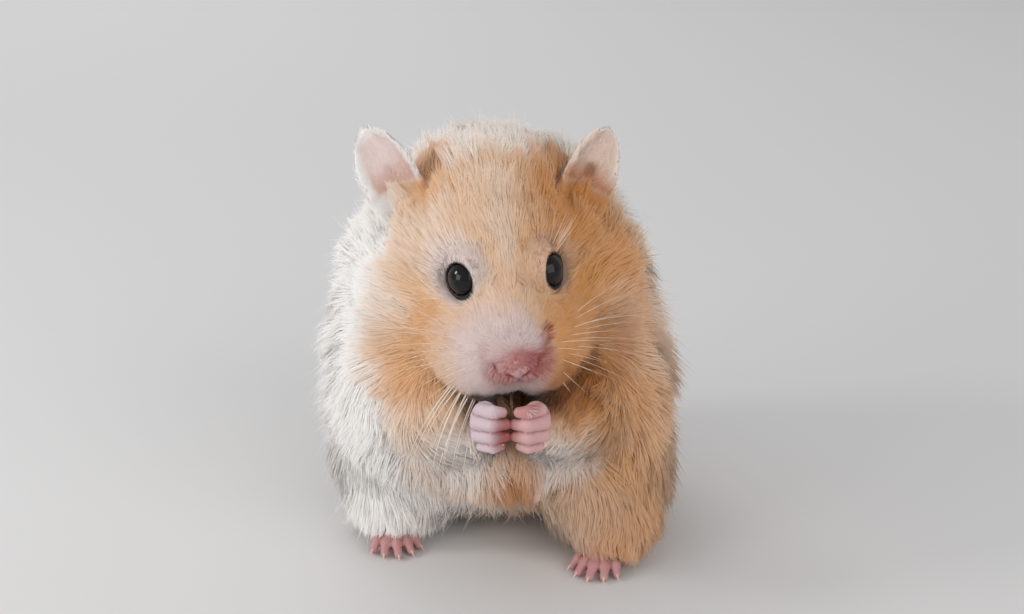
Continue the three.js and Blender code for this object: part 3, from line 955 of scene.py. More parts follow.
def ranged(nodes, low, high):
    """A node that turns 0 to 1 into low to high."""
    node = nodes.new("ShaderNodeMapRange")
    node.inputs["To Min"].default_value = low
    node.inputs["To Max"].default_value = high
    return node


ROOT_VALUE, TIP_VALUE, TONE_RANGE = 0.95, 1.05, 0.05
ROOT_STRENGTH, TIP_STRENGTH = 1.22, 0.94  # how strong the colour is


def fur_tone_group():
    """Colour times a value that rises from root to tip and varies with each lock's tone."""
    group, given, out = node_group("fur_tone", {"Colour": "Color", "Along": "Float", "Tone": "Float"})
    nodes, links = group.nodes, group.links
    value = ranged(nodes, ROOT_VALUE, TIP_VALUE)
    strength = ranged(nodes, ROOT_STRENGTH, TIP_STRENGTH)
    vary = ranged(nodes, 1 - TONE_RANGE, 1 + TONE_RANGE)
    product = nodes.new("ShaderNodeMath")
    product.operation = "MULTIPLY"
    shade = nodes.new("ShaderNodeHueSaturation")
    links.new(given["Along"], value.inputs["Value"])
    links.new(given["Along"], strength.inputs["Value"])
    links.new(given["Tone"], vary.inputs["Value"])
    links.new(value.outputs[0], product.inputs[0])
    links.new(vary.outputs[0], product.inputs[1])
    links.new(product.outputs[0], shade.inputs["Value"])
    links.new(strength.outputs[0], shade.inputs["Saturation"])
    links.new(given["Colour"], shade.inputs["Color"])
    links.new(shade.outputs["Color"], out)
    return group


FUR_TONE = fur_tone_group()
print("fur tone:", len(FUR_TONE.nodes), "nodes")

# %% [markdown]
# ## Fur
# Fur is a matt shader mixed with a clear one that only the rays looking for lamps meet, since light
# shines through hair. Its colours could be a painted image, but attributes on the mesh stay sharp
# at any size.

# %% Fur
def material(name, **values):
    """A material and its Principled shader, with plain values set on the shader's own sockets."""
    made = bpy.data.materials.new(name)
    made.use_nodes = True
    shader = made.node_tree.nodes["Principled BSDF"]
    for socket, value in values.items():
        shader.inputs[socket.replace("_", " ")].default_value = value
    return made, made.node_tree.nodes, made.node_tree.links, shader


def read(nodes, name):
    """A node that reads one of the mesh's attributes."""
    node = nodes.new("ShaderNodeAttribute")
    node.attribute_name = name
    return node


def placed(nodes, group):
    """A node that holds a group."""
    node = nodes.new("ShaderNodeGroup")
    node.node_tree = group
    return node


LET_THROUGH = 0.86, 0.83, 0.80  # the share of a lamp's light that one lock lets through


def coat_material():
    """Fur is matt with a pale sheen. Light shines through hair, so a lock's shadow is only partly
    dark: for the rays that look for lamps, the lock is a clear tinted surface."""
    made, nodes, links, shader = material(
        "soft_fur", Roughness=0.72, Specular_IOR_Level=0.3, Sheen_Weight=0.25, Sheen_Roughness=0.45
    )
    tone = placed(nodes, FUR_TONE)
    links.new(read(nodes, "colour").outputs["Color"], tone.inputs["Colour"])
    links.new(read(nodes, "along").outputs["Fac"], tone.inputs["Along"])
    links.new(read(nodes, "tone").outputs["Fac"], tone.inputs["Tone"])
    links.new(tone.outputs["Colour"], shader.inputs["Base Color"])
    path = nodes.new("ShaderNodeLightPath")
    clear = nodes.new("ShaderNodeBsdfTransparent")
    clear.inputs["Color"].default_value = (*LET_THROUGH, 1)
    either = nodes.new("ShaderNodeMixShader")
    links.new(path.outputs["Is Shadow Ray"], either.inputs["Fac"])
    links.new(shader.outputs[0], either.inputs[1])
    links.new(clear.outputs[0], either.inputs[2])
    links.new(either.outputs[0], nodes["Material Output"].inputs["Surface"])
    return made


COAT = coat_material()
print("fur:", len(COAT.node_tree.nodes), "nodes")

# %% [markdown]
# ## Skin
# Skin has a fine grain in its colour and bump, lets a little light into its depth, and is smoother
# where it is bare. It takes its tone from the same group as the fur.

# %% Skin
MATT, MOIST = 0.9, 0.48  # roughness of skin under fur, and of bare skin
GRAIN_SCALE = 2600


def skin_material():
    """Bare skin is finely grained and a little moist; skin under fur is matt."""
    made, nodes, links, shader = material(
        "skin", Specular_IOR_Level=0.4, Subsurface_Weight=0.15, Subsurface_Scale=0.002
    )
    shader.inputs["Subsurface Radius"].default_value = (1.0, 0.4, 0.25)
    tone = placed(nodes, FUR_TONE)
    place = nodes.new("ShaderNodeTexCoord")
    grain = nodes.new("ShaderNodeTexNoise")
    grain.inputs["Scale"].default_value = GRAIN_SCALE
    grain.inputs["Detail"].default_value = 3
    links.new(place.outputs["Object"], grain.inputs["Vector"])
    links.new(read(nodes, "colour").outputs["Color"], tone.inputs["Colour"])
    tone.inputs["Along"].default_value = 0.6
    links.new(grain.outputs["Fac"], tone.inputs["Tone"])
    links.new(tone.outputs["Colour"], shader.inputs["Base Color"])
    rough = ranged(nodes, MATT, MOIST)
    links.new(read(nodes, "bare").outputs["Fac"], rough.inputs["Value"])
    links.new(rough.outputs[0], shader.inputs["Roughness"])
    bump = nodes.new("ShaderNodeBump")
    bump.inputs["Strength"].default_value = 0.35
    bump.inputs["Distance"].default_value = 0.00012
    links.new(grain.outputs["Fac"], bump.inputs["Height"])
    links.new(bump.outputs["Normal"], shader.inputs["Normal"])
    return made


SKIN = skin_material()
print("skin:", len(SKIN.node_tree.nodes), "nodes")

# %% [markdown]
# ## Making meshes
# Every piece goes through one function: points in the body's axes in, a mesh in metres in the
# frame's axes out, riding on the frame's one body.

# %% Mesh helper
def piece(name, points, faces, finish, attributes=(), uv=None, facing=None):
    """A mesh object from points (n, 3) and faces (m, 3 or 4), shaded smooth. facing gives the
    normals that it is shaded with, where they aren't those of its own shape."""
    mesh = bpy.data.meshes.new(name)
    sides = faces.shape[1]
    mesh.vertices.add(len(points))
    mesh.vertices.foreach_set("co", ((points + ORIGIN) / MM).astype(np.float32).ravel())
    mesh.loops.add(faces.size)
    mesh.loops.foreach_set("vertex_index", faces.astype(np.int32).ravel())
    mesh.polygons.add(len(faces))
    mesh.polygons.foreach_set("loop_start", np.arange(0, faces.size, sides, dtype=np.int32))
    mesh.update(calc_edges=True)
    for label, values in attributes:
        kind, field_name = "FLOAT", "value"
        if values.ndim == 2:
            kind, field_name = "FLOAT_COLOR", "color"
            values = np.column_stack([values, np.ones(len(values))])
        layer = mesh.attributes.new(label, kind, "POINT")
        layer.data.foreach_set(field_name, values.astype(np.float32).ravel())
    if uv is not None:
        layer = mesh.uv_layers.new(name="OFBake")
        layer.uv.foreach_set("vector", uv[faces.ravel()].astype(np.float32).ravel())
    mesh.shade_smooth()
    if facing is not None:
        mesh.normals_split_custom_set_from_vertices(facing)
    mesh.materials.append(finish)
    made = bpy.data.objects.new(name, mesh)
    bpy.context.scene.collection.objects.link(made)
    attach(made, "root")
    return made


skin = piece("skin", points, quads, SKIN, [("colour", skin_colour), ("bare", bare)])
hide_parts(*[n for n in frame["nodes"] if not n.startswith("eye")])
print("skin piece:", len(skin.data.polygons), "faces")

# %% [markdown]
# ## How the coat lies
# Hair points away from the nose over the face, forehead and cheeks, parts round the eyes, runs back
# over the nape and then down the back and flanks, and follows the forelegs to the wrists. The
# directions are added up by soft masks and laid flat on the skin.

# %% Lie of the coat
def lie(p, normal):
    """The direction, along the skin, in which the hair at each point lies: away from the nose on
    the head, down elsewhere, forwards on the legs, towards the hands on the arms, away from an
    eye's middle and up over it, up on an ear, and a little astray everywhere."""
    onto_head = rise(np.linalg.norm(p - HEAD, axis=-1), 37, 25) * rise(p[:, 2], 38, 50)
    way = unit(p - on_head([0, -32, -1])) * onto_head[:, None] * 1.6
    down = np.stack([0.12 * np.sign(p[:, 0]), np.full(len(p), 0.5), np.full(len(p), -1.0)], 1)
    way = way + down * (1 - onto_head)[:, None]
    legs = rise(p[:, 2], 30, 20) * rise(p[:, 1], 6, -6)
    way = way + np.array([0, -0.9, -0.5]) * legs[:, None]
    for side in (1, -1):
        arm = spot(p, HANDS + [12 * side, 10, -2], [11, 12, 9], 0.4)
        way = way * (1 - 0.85 * arm[:, None]) + unit(np.array([-0.55 * side, -0.75, -0.35])) * arm[:, None]
        away = unit(p - EYES[side])
        near_eye = rise(np.linalg.norm(p - EYES[side], axis=-1), 8.5, 4.6)
        ahead = rise(away @ -HEAD_TURN[:, 1], 0, 0.7)
        outwards = near_eye * (1.2 - np.minimum((way * away).sum(-1), 0))
        way = way + outwards[:, None] * away + 1.2 * (near_eye * ahead)[:, None] * HEAD_TURN[:, 2]
        on_ear = rise(ear_distance(EARS[side], p), 1.2, 0.4) * rise(ear_place(EARS[side], p)[0], 0, 0.1)
        up = unit(np.array(EARS[side]["tip"], float) - EARS[side]["base"])
        way = way * (1 - on_ear[:, None]) + up * on_ear[:, None]
    way = way + 0.22 * wander(p, 16, 11) + 0.2 * wander(p, 5, 12) + 0.12 * wander(p, 2.2, 13)
    return unit(way - (way * normal).sum(-1, keepdims=True) * normal)


# %% [markdown]
# ## Where locks grow
# Each small triangle of skin gets locks in proportion to its area. Long fur needs fewer and wider
# locks than the short fur of the face to cover the same area. The depth of the coat, which is the
# distance from the skin out to the frame's outline, sets how long and how wide the locks are.

# %% Roots
LOCKS = 246_000
DEEPEST = 6.0
EAR_FUR = 0.65  # depth of the fur on the ears


def lock_length(depth):
    """Longer than the coat is deep, since it lies over."""
    return np.maximum(depth / 0.5, 1.4)


def lock_width(depth):
    """Slim on short fur, a little wider on long fur."""
    return 0.12 + 0.04 * depth


def bare_places(p):
    """1 where no fur grows: paws, nose and the lids' edges."""
    h = in_head(p)
    none = np.maximum(paw_mask(p), spot(h, [0, -31, -3.6], [2.8, 2.2, 1.8], 0.15))
    for side in (1, -1):
        reach, angle, edge = eye_place(side, p)
        lid_rim = rise(reach, EYE_RADIUS + 1.3, EYE_RADIUS + 1.1) * rise(angle - edge, 0.1, 0.05)
        none = np.maximum(none, lid_rim)
    return none


def growth(p):
    """Coat depth, and locks per square millimetre before they are scaled to the total: one over a
    lock's width times its length, and fewer behind, below, where the fur is shortest, and on the
    ears."""
    on_ear, inside, rim = ear_masks(p)
    depth = np.clip(-field(p, 0), 0.0, DEEPEST)
    for ear in EARS.values():
        front = rise(ear_distance(ear, p), 5, 1) * rise(ear_place(ear, p)[2], -1, 1)
        depth = depth * (1 - 0.6 * front)
    depth = np.where(on_ear > 0.5, EAR_FUR, depth)
    cover = 1.0 - 0.4 * rise(p[:, 1], -2, 12) - 0.3 * rise(p[:, 2], 8, 2)
    density = cover / (lock_width(depth) * lock_length(depth))
    density = density * (1 - 0.2 * rise(depth, 1.8, 1.0))
    density = density * (1 - on_ear * np.maximum(0.35 + 0.45 * inside, 0.96 * rim))
    return depth, density * (1 - bare_places(p))


corners = np.concatenate([quads[:, [0, 1, 2]], quads[:, [0, 2, 3]]])
a, b, c = (points[corners[:, i]] for i in range(3))
area = np.linalg.norm(np.cross(b - a, c - a), axis=-1) / 2
depth, density = growth((a + b + c) / 3)
print("skin area", round(area.sum()), "mm2, coat up to", depth.max().round(1), "mm deep")

# %% [markdown]
# ## Scattering the roots
# Each triangle's number of locks is its area times the density at its middle, rounded up or down at
# random, and each root is a random point of its triangle. One seed keeps the coat the same each
# time.

# %% Scattering the roots
rng = np.random.default_rng(20)
expected = area * density
expected *= LOCKS / expected.sum()
number = (expected + rng.random(len(expected))).astype(int)
grown = np.repeat(np.arange(len(corners)), number)
r, s = rng.random((2, len(grown)))
r, s = np.where(r + s > 1, 1 - r, r), np.where(r + s > 1, 1 - s, s)
root = a[grown] + r[:, None] * (b - a)[grown] + s[:, None] * (c - a)[grown]
normal = unit(
    normals[corners[grown, 0]] * (1 - r - s)[:, None]
    + normals[corners[grown, 1]] * r[:, None]
    + normals[corners[grown, 2]] * s[:, None]
)
depth = depth[grown]
print("locks:", len(root))

# %% [markdown]
# ## The shape of a lock
# A lock is a slim, closed spindle: one point at the root, a ring of three at the bend, and one
# point at the tip. It rises steeply from the skin, then bends over and lies along it. With six
# triangles each, the coat can have a quarter of a million of them. If each were shaded by its own
# facets the coat would look like straw, so its normals lean towards those of the skin below.

# %% Locks
OWN_SHAPE = 0.3  # how far a lock's normals turn away from the skin's, towards its own
OWN_CORNER = np.array([0, 1, 1, 0.8, 1])[:, None]  # and each corner's share of that
STRAYS = 0.03  # the share of locks that stand out, longer and thinner
BEND = 0.42  # where a lock bends, as a part of its length
LOCK_FACES = np.array([[0, 2, 1], [0, 3, 2], [0, 1, 3], [4, 1, 2], [4, 2, 3], [4, 3, 1]])


def grow(root, normal, depth):
    """Points (n, 5, 3) of each lock and the normals it is shaded with. The bend is at the root plus
    the first part of the length along a steep direction, and the tip is the rest of the length
    further on along a flatter one."""
    n = len(root)
    flat = lie(root, normal)
    stray = rng.random(n) < STRAYS
    length = lock_length(depth) * rng.uniform(0.75, 1.12, n) * np.where(stray, 1.2, 1)
    width = lock_width(depth) * rng.uniform(0.75, 1.2, n) * np.where(stray, 0.55, 1)
    steep = np.radians(22 + 5 * depth + rng.normal(0, 4, n) + 8 * stray)
    shallow = np.radians(7 + 1.7 * depth + rng.normal(0, 3, n) + 8 * stray)
    swing = (wander(root, 3.4, 21) * 0.08 + wander(root, 9, 22) * 0.06) * length[:, None]

    def way(angle):
        """Along the skin, and up from it by an angle."""
        return np.cos(angle)[:, None] * flat + np.sin(angle)[:, None] * normal

    first, second = way(steep), way(shallow)
    base = root - (0.08 + 0.03 * depth)[:, None] * normal
    bend = base + first * (BEND * length)[:, None] + 0.3 * swing
    tip = bend + second * ((1 - BEND) * length)[:, None] + 0.7 * swing
    along = unit(first + second)
    across = unit(np.cross(flat, normal))
    out = unit(np.cross(across, along))
    out *= np.sign((out * normal).sum(-1, keepdims=True))
    half, thick = (width / 2)[:, None], (0.25 * width)[:, None]
    left = bend - across * half + out * thick
    right = bend + across * half + out * thick
    under = bend - out * thick
    body = np.stack([base, left, right, under, tip], 1)
    own = np.stack([normal, unit(out - across), unit(out + across), -out, unit(out + 0.6 * second)], 1)
    weight = np.where(ear_masks(root)[0] > 0.5, 1.0, OWN_SHAPE)[:, None, None] * OWN_CORNER
    facing = unit(normal[:, None] + weight * own)
    return body, facing


print("a lock has", len(LOCK_FACES), "triangles")

# %% [markdown]
# ## All the locks
# One call grows every lock at once. Those that would reach into the floor are stopped just above
# it.

# %% All the locks
LOWEST = 0.05  # the floor is at 0
lock_points, lock_facing = grow(root, normal, depth)
lock_points[..., 2] = np.maximum(lock_points[..., 2], LOWEST)
reach = np.linalg.norm(lock_points[:, 4] - lock_points[:, 0], axis=1)
print("locks are", reach.min().round(1), "to", reach.max().round(1), "mm from root to tip")

# %% [markdown]
# ## Clear eyes
# A few locks would hang in front of an eye or reach into it. They are found by their angle from the
# eye's gaze and their distance from its middle, and left out. Each lock's volume, summed from its
# faces, is positive where they look outwards.

# %% Clear eyes
IN_FRONT = 2.2  # how far in front of an eye a lock counts as hanging over it
in_eye = np.zeros(len(root), bool)
halfway = (lock_points[:, 1:2] + lock_points[:, 4:]) / 2
for side in (1, -1):
    reach, angle, edge = eye_place(side, np.concatenate([lock_points[:, 1:], halfway], 1))
    over = (reach < EYE_RADIUS + IN_FRONT) & (angle < edge + 0.06)
    in_eye |= (over | (reach < EYE_RADIUS + 2 * EYE_CLEARANCE)).any(1)
root, normal, depth = root[~in_eye], normal[~in_eye], depth[~in_eye]
lock_points, lock_facing = lock_points[~in_eye], lock_facing[~in_eye]
corner = lock_points[:, LOCK_FACES]
volume = (corner[..., 0, :] * np.cross(corner[..., 1, :], corner[..., 2, :])).sum((-1, -2)) / 6
print("kept", len(root), "locks; they face out:", bool((volume > 0).mean() > 0.99))

# %% [markdown]
# ## The coat in pieces
# The coat is divided by where its roots are, so that each piece can be handled by itself. Each
# piece carries a map on which its skin is unrolled: the directions from inside the body are spread
# out flat with their areas kept, and each lock is a small patch at its root's place.

# %% Coat pieces
def region(p):
    """The name of the part of the coat that each root belongs to. A later rule wins over an
    earlier one."""
    h = in_head(p)
    x, y, z = p.T
    name = np.full(len(p), "rump", dtype="<U12")
    name[z > 40] = "back"
    name[z > 74] = "nape"
    name[(x > 20) & (z <= 74)] = "flank_left"
    name[(x < -20) & (z <= 74)] = "flank_right"
    name[(y < -8) & (np.abs(x) < 20)] = "chest"
    name[z < 5] = "belly"
    name[(z < 30) & (y < 2) & (x > 4)] = "thigh_left"
    name[(z < 30) & (y < 9) & (x < -4)] = "thigh_right"
    name[(z > 27) & (z < 45) & (y < -15)] = "forelegs"
    head = (h[:, 1] < 7) & (h[:, 2] > -21)
    name[head & (h[:, 0] > 0)] = "cheek_left"
    name[head & (h[:, 0] <= 0)] = "cheek_right"
    name[head & (h[:, 2] > 3)] = "forehead"
    name[head & (h[:, 1] < -17) & (np.abs(h[:, 0]) < 13) & (h[:, 2] < 8)] = "muzzle"
    name[ear_masks(p)[0] > 0.5] = "ears"
    return name


def unrolled(p):
    """Places 0 to 1 on a flat map of the skin: directions from a point inside, spread round their
    mean direction so that areas are kept, and scaled to fill the map."""
    inside = p.mean(0) * 0.35 + np.array([0, 8, 45]) * 0.65
    ways = unit(p - inside)
    pole = unit(ways.mean(0))
    side = unit(np.cross(pole, [0.3, 0.2, 1]))
    spread = np.sqrt(2 / np.maximum(1 + ways @ pole, 0.02))
    flat = np.stack([ways @ side * spread, ways @ np.cross(pole, side) * spread], 1)
    low, high = flat.min(0), flat.max(0)
    return 0.02 + 0.955 * (flat - low) / (high - low)


def fur_colour(p):
    """The colour of a lock that grows at each point: the coat's, or on the ears the leaf's own."""
    on_ear, inside, rim = ear_masks(p)
    return mix(coat_colour(p), ear_colour(p, inside, rim), on_ear)


names = region(root)
print("parts of the coat:", ", ".join(sorted(set(names))))

# %% [markdown]
# ## Joined locks
# Each part becomes one mesh, or two where it has more locks than a piece should. A lock carries its
# root's colour, a tone of its own, and at each corner how far along the lock it is.

# %% Joined locks
PATCH = 0.003  # the width of a lock's patch on the map
CORNER_PLACE = np.array([[0.5, 0], [0, 0.4], [1, 0.4], [0.5, 0.6], [0.5, 1]])
ALONG = np.array([0, 0.45, 0.45, 0.45, 1.0])
MOST_LOCKS = 33_000
lock_colour = fur_colour(root)
tone = rng.random(len(root))
total = 0
for name in sorted(set(names)):
    members = np.flatnonzero(names == name)
    parts = int(np.ceil(len(members) / MOST_LOCKS))
    for i in range(parts):
        chosen = members[i::parts]
        count = len(chosen)
        where = unrolled(root[chosen])[:, None] + CORNER_PLACE * PATCH
        faces = (np.arange(count)[:, None, None] * 5 + LOCK_FACES).reshape(-1, 3)
        looks = [
            ("colour", np.repeat(lock_colour[chosen], 5, 0)),
            ("along", np.tile(ALONG, count)),
            ("tone", np.repeat(tone[chosen], 5)),
        ]
        label = f"coat_{name}" + (f"_{i + 1}" if parts > 1 else "")
        body, facing = lock_points[chosen].reshape(-1, 3), lock_facing[chosen].reshape(-1, 3)
        piece(label, body, faces, COAT, looks, where.reshape(-1, 2), facing)
        total += len(faces)
        print(label, count, "locks")
print("coat:", total, "triangles")

# %% [markdown]
# ## Eyes
# A hamster's eye is one bead of black gloss. The solid's place and size are kept, with a finer
# ball, a very dark brown iris and a wet surface that mirrors the lamps.

# %% Eyes
def eye_material():
    """Nearly black, a trace browner at the iris, under a wet gloss."""
    made, nodes, links, shader = material("eye", Roughness=0.07, Specular_IOR_Level=0.34)
    blend = nodes.new("ShaderNodeMix")
    blend.data_type = "RGBA"
    blend.inputs["A"].default_value = (0.003, 0.002, 0.002, 1)
    blend.inputs["B"].default_value = (0.006, 0.004, 0.004, 1)
    links.new(read(nodes, "iris").outputs["Fac"], blend.inputs["Factor"])
    links.new(blend.outputs["Result"], shader.inputs["Base Color"])
    return made


def ball(rows=40, around=56):
    """A unit ball: a point at each pole and rings of cosine radius between them."""
    tilt = np.linspace(0, np.pi, rows + 1)[1:-1]
    turn = np.linspace(0, 2 * np.pi, around, endpoint=False)
    t, u = np.meshgrid(tilt, turn, indexing="ij")
    grid = np.stack([np.sin(t) * np.cos(u), np.sin(t) * np.sin(u), np.cos(t)], -1).reshape(-1, 3)
    i = np.arange((rows - 2) * around)
    j = i - i % around + (i + 1) % around
    body = np.stack([i, i + around, j + around, j], 1)
    body = np.concatenate([body[:, [0, 1, 2]], body[:, [0, 2, 3]]])
    last, n = len(grid) - around, len(grid)
    ring = np.arange(around)
    onward = (ring + 1) % around
    top = np.stack([np.full(around, n), ring, onward], 1)
    bottom = np.stack([np.full(around, n + 1), last + onward, last + ring], 1)
    return np.concatenate([grid, [[0, 0, 1], [0, 0, -1]]]), np.concatenate([body, top, bottom])


EYE = eye_material()
for side, word in [(1, "left"), (-1, "right")]:
    shape, faces = ball()
    gaze = eye_axes(side)[0]
    iris = rise(shape @ gaze, 0.55, 0.8) * (1 - rise(shape @ gaze, 0.86, 0.93))
    eye = piece("eyeball_" + word, EYES[side] + EYE_RADIUS * shape, faces, EYE, [("iris", iris)])
    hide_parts("eye_" + word)
print("eyes:", 2 * len(faces), "triangles")

# %% [markdown]
# ## Tapered tubes
# Claws and whiskers are both tapered tubes along a curved path: rings of points carried along it, a
# cap at the root and one point at the tip. A curve with a bevel would do for one, but whole arrays
# make all of them in one closed mesh.

# %% Tubes
def tubes(paths, radii, sides):
    """Closed tapered tubes. paths is (n, k, 3), radii (n, k - 1): a ring at each path point but the
    last, which is the tip."""
    n, k, _ = paths.shape
    ways = unit(np.gradient(paths, axis=1))[:, :-1]
    aside = unit(np.cross(ways, [0.31, 0.2, 0.93]))
    other = np.cross(ways, aside)
    turn = np.linspace(0, 2 * np.pi, sides, endpoint=False)[:, None]
    ring = np.cos(turn) * aside[:, :, None] + np.sin(turn) * other[:, :, None]
    body = (paths[:, :-1, None] + radii[..., None, None] * ring).reshape(n, -1, 3)
    made = np.concatenate([body, paths[:, -1:], paths[:, :1]], 1)
    i = np.arange((k - 2) * sides)
    j = i - i % sides + (i + 1) % sides
    faces = [np.stack([i, j, j + sides], 1), np.stack([i, j + sides, i + sides], 1)]
    last, count = (k - 2) * sides, (k - 1) * sides
    one = np.arange(sides)
    two = (one + 1) % sides
    faces.append(np.stack([last + one, last + two, np.full(sides, count)], 1))
    faces.append(np.stack([two, one, np.full(sides, count + 1)], 1))
    faces = np.concatenate(faces)
    every = (np.arange(n)[:, None, None] * (count + 2) + faces).reshape(-1, 3)
    return made.reshape(-1, 3), every


def arcs(starts, ways, lengths, sags, steps):
    """Paths from starts along ways that drop by sag times the square of the way along."""
    t = np.linspace(0, 1, steps)[None, :, None]
    drop = np.array([0, 0, -1.0]) * sags[:, None, None] * t**2
    return starts[:, None] + ways[:, None] * lengths[:, None, None] * t + drop


# %% [markdown]
# ## Streaks
# Horn and stiff hair are both streaked between a pale and a deeper colour. One node group makes
# that from a fine noise, and claws and whiskers give it their own colours and scale.

# %% Streaks
def streaks_group():
    """A colour between pale and deep, by a noise at the given place and scale."""
    kinds = {"Place": "Vector", "Scale": "Float", "Pale": "Color", "Deep": "Color"}
    group, given, out = node_group("streaks", kinds)
    noise = group.nodes.new("ShaderNodeTexNoise")
    blend = group.nodes.new("ShaderNodeMix")
    blend.data_type = "RGBA"
    group.links.new(given["Place"], noise.inputs["Vector"])
    group.links.new(given["Scale"], noise.inputs["Scale"])
    group.links.new(noise.outputs["Fac"], blend.inputs["Factor"])
    group.links.new(given["Pale"], blend.inputs["A"])
    group.links.new(given["Deep"], blend.inputs["B"])
    group.links.new(blend.outputs["Result"], out)
    return group


STREAKS = streaks_group()


def streaked(name, pale, deep, scale, roughness):
    """A smooth material with streaks between two colours."""
    made, nodes, links, shader = material(name, Roughness=roughness)
    place = nodes.new("ShaderNodeTexCoord")
    streaks = placed(nodes, STREAKS)
    streaks.inputs["Scale"].default_value = scale
    streaks.inputs["Pale"].default_value = (*pale, 1)
    streaks.inputs["Deep"].default_value = (*deep, 1)
    links.new(place.outputs["Object"], streaks.inputs["Place"])
    links.new(streaks.outputs["Colour"], shader.inputs["Base Color"])
    return made


print("streaks:", len(STREAKS.nodes), "nodes")

# %% [markdown]
# ## Claws
# Each digit ends in a short pale claw that curves down. It starts inside the digit's tip, so that
# no gap shows, and stays a little above the floor.

# %% Claws
CLAW_LENGTH, CLAW_RADIUS, CLAW_SAG = 2.1, 0.36, 0.55  # at size 1
starts, ways, sizes = (np.array(column) for column in zip(*claw_tips))
paths = arcs(starts - 0.4 * ways, ways, CLAW_LENGTH * sizes, CLAW_SAG * sizes, 7)
paths[..., 2] = np.maximum(paths[..., 2], 0.15)
taper = CLAW_RADIUS * sizes[:, None] * np.sqrt(1 - np.linspace(0, 0.92, 6))
claw_points, claw_faces = tubes(paths, taper, 8)
HORN = streaked("horn", paint(236, 214, 204), paint(212, 168, 156), 900, 0.35)
piece("claws", claw_points, claw_faces, HORN)
print("claws:", len(starts))

# %% [markdown]
# ## Whiskers
# Whiskers grow in rows from the sides of the muzzle, longer further back, and sag a little under
# their own weight. Rows and places are numbers on a grid, and a little chance turns each whisker.

# %% Whiskers
ROWS, IN_ROW = 5, 6


def whisker_set(side, rng):
    """Starts, ways and lengths of one side's whiskers, in rows up the muzzle."""
    row, place = (v.ravel() for v in np.meshgrid(np.arange(ROWS), np.arange(IN_ROW), indexing="ij"))
    fan = np.radians(np.interp(row, [0, ROWS - 1], [-62, 18]) + rng.normal(0, 5, len(row)))
    back = np.radians(-30 + 13 * place + rng.normal(0, 4, len(row)))
    height = -9.4 + 1.75 * row + 0.3 * place
    start = np.stack([side * (6.8 + 0.75 * place), -27.4 + 0.95 * place, height], 1)
    way = np.stack([side * np.cos(fan) * np.cos(back), np.sin(back) * 0.8, np.sin(fan)], 1)
    length = 9 + 2.6 * place + rng.uniform(-1.5, 2.5, len(row))
    return start @ HEAD_TURN.T + HEAD, unit(way) @ HEAD_TURN.T, length


WHISKER = streaked("whisker", paint(252, 246, 236), paint(226, 196, 160), 60, 0.4)
print("whiskers in rows:", 2 * ROWS * IN_ROW)

# %% [markdown]
# ## The hanging bundle
# The lowest whiskers of the right lip are long and thick, and hang together over the forearm. Each
# is a curve through three points: its root, a bend out in front, and its end.

# %% The hanging bundle
BUNDLE = 11  # whiskers that hang together, thicker than the rest
BUNDLE_THICK = 2.4


def bundle(number, rng):
    """Curves from root to end: (1 - t) squared times the root, 2 t (1 - t) times the bend, and t
    squared times the end."""
    share = np.linspace(0, 1, number)[:, None]
    start = on_head([-8.6, -27.6, -10.4]) + [1, 0.3, -0.2] * (share - 0.5) * 5
    start = start + rng.normal(0, 0.4, (number, 3))
    end = np.array([-19, -36, 29]) + [11, 0, -3] * share + rng.normal(0, 0.9, (number, 3))
    bend = 0.45 * start + 0.55 * end + [-1.5, -4.5, 3.5]
    t = np.linspace(0, 1, 11)[None, :, None]
    return (1 - t) ** 2 * start[:, None] + 2 * t * (1 - t) * bend[:, None] + t**2 * end[:, None]


print("whiskers in the bundle:", BUNDLE)

# %% [markdown]
# ## All whiskers
# The roots are first moved to half a millimetre under the skin. Then both kinds become one mesh of
# tapered tubes.

# %% All whiskers
whisker_rng = np.random.default_rng(5)
sets = [whisker_set(side, whisker_rng) for side in (1, -1)]
starts, ways, lengths = (np.concatenate([one[i] for one in sets]) for i in range(3))
inside = field(starts, 1)
starts = starts - (inside[:, None] + 0.5) * unit(starts - on_head([0, -18, -5]))
paths = arcs(starts, ways, lengths, 0.010 * lengths**2, 11)
paths = np.concatenate([paths, bundle(BUNDLE, whisker_rng)])
taper = 0.08 * (1 - np.linspace(0, 0.9, 10))[None] * whisker_rng.uniform(0.8, 1.2, len(paths))[:, None]
taper[len(starts) :] *= BUNDLE_THICK
whisker_points, whisker_faces = tubes(paths, taper, 5)
piece("whiskers", whisker_points, whisker_faces, WHISKER)
print("whiskers:", len(paths))

# %% [markdown]
# ## Stage and light
# The floor is pale and plain. A window stands low at the animal's right and another behind it, the
# room gives back some light from its left, and a small lamp high up puts a glint in the right eye.

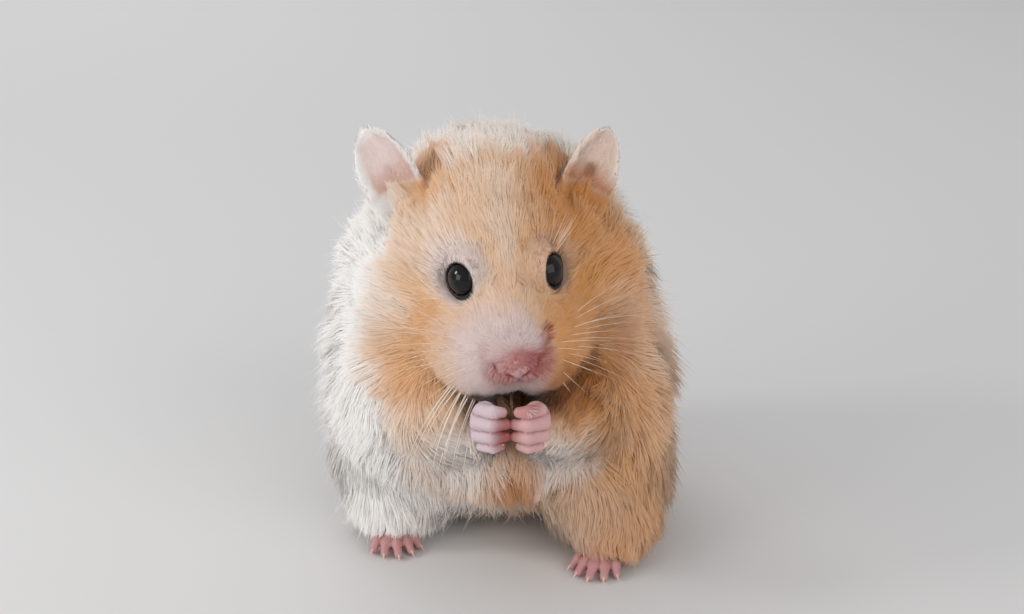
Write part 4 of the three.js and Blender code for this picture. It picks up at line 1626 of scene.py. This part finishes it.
# %% Stage
FLOOR, nodes, links, shader = material("pale_floor", Roughness=0.9, Specular_IOR_Level=0.2)
shader.inputs["Base Color"].default_value = (*paint(226, 224, 222), 1)
bpy.ops.mesh.primitive_plane_add(size=8)
floor = bpy.context.object
floor.name = "floor"
floor.data.materials.append(FLOOR)

world = bpy.data.worlds.new("pale_room")
bpy.context.scene.world = world
world.use_nodes = True
sky = world.node_tree.nodes["Background"]
sky.inputs["Color"].default_value = (*paint(236, 238, 242), 1)
sky.inputs["Strength"].default_value = 0.56


def lamp(name, way, away, size, watts):
    """A square soft lamp that lies away metres in a direction from the animal, and faces it."""
    data = bpy.data.lights.new(name, "AREA")
    data.size = size
    data.energy = watts
    made = bpy.data.objects.new(name, data)
    ahead = Vector(way).normalized()
    made.location = Vector((0, 0, 0.05)) + away * ahead
    made.rotation_euler = (-ahead).to_track_quat("-Z", "Y").to_euler()
    bpy.context.scene.collection.objects.link(made)


lamp("window", (-0.75, -0.55, 0.22), away=1.0, size=0.5, watts=1.95)
lamp("glint", (-0.85, -0.16, 0.48), away=0.5, size=0.11, watts=0.55)
lamp("back_window", (-0.35, 0.8, 0.6), away=1.0, size=0.6, watts=1.9)
lamp("room", (0.62, -0.76, 0.42), away=1.2, size=1.0, watts=4.4)
print("lamps:", len(bpy.data.lights))

# %% [markdown]
# ## Camera
# The camera looks down a little on the sitting animal from in front. It stands a third of a metre
# away, where the muzzle doesn't bulge.

# %% Camera
TARGET = np.array([2.5, 0, 50]) + ORIGIN
DISTANCE, LOOK_DOWN = 360.0, 20.0
tilt = math.radians(LOOK_DOWN)
backwards = np.array([0, -math.cos(tilt), math.sin(tilt)])
camera = bpy.data.objects.new("camera", bpy.data.cameras.new("camera"))
camera.location = (TARGET + DISTANCE * backwards) / MM
camera.rotation_euler = Vector(-backwards).to_track_quat("-Z", "Y").to_euler()
camera.data.sensor_width = 36
camera.data.lens = 59.1
camera.data.clip_start = 0.01
bpy.context.scene.collection.objects.link(camera)
bpy.context.scene.camera = camera
bpy.context.scene.view_settings.view_transform = "Standard"
print("camera at", [round(MM * c) for c in camera.location], "mm")
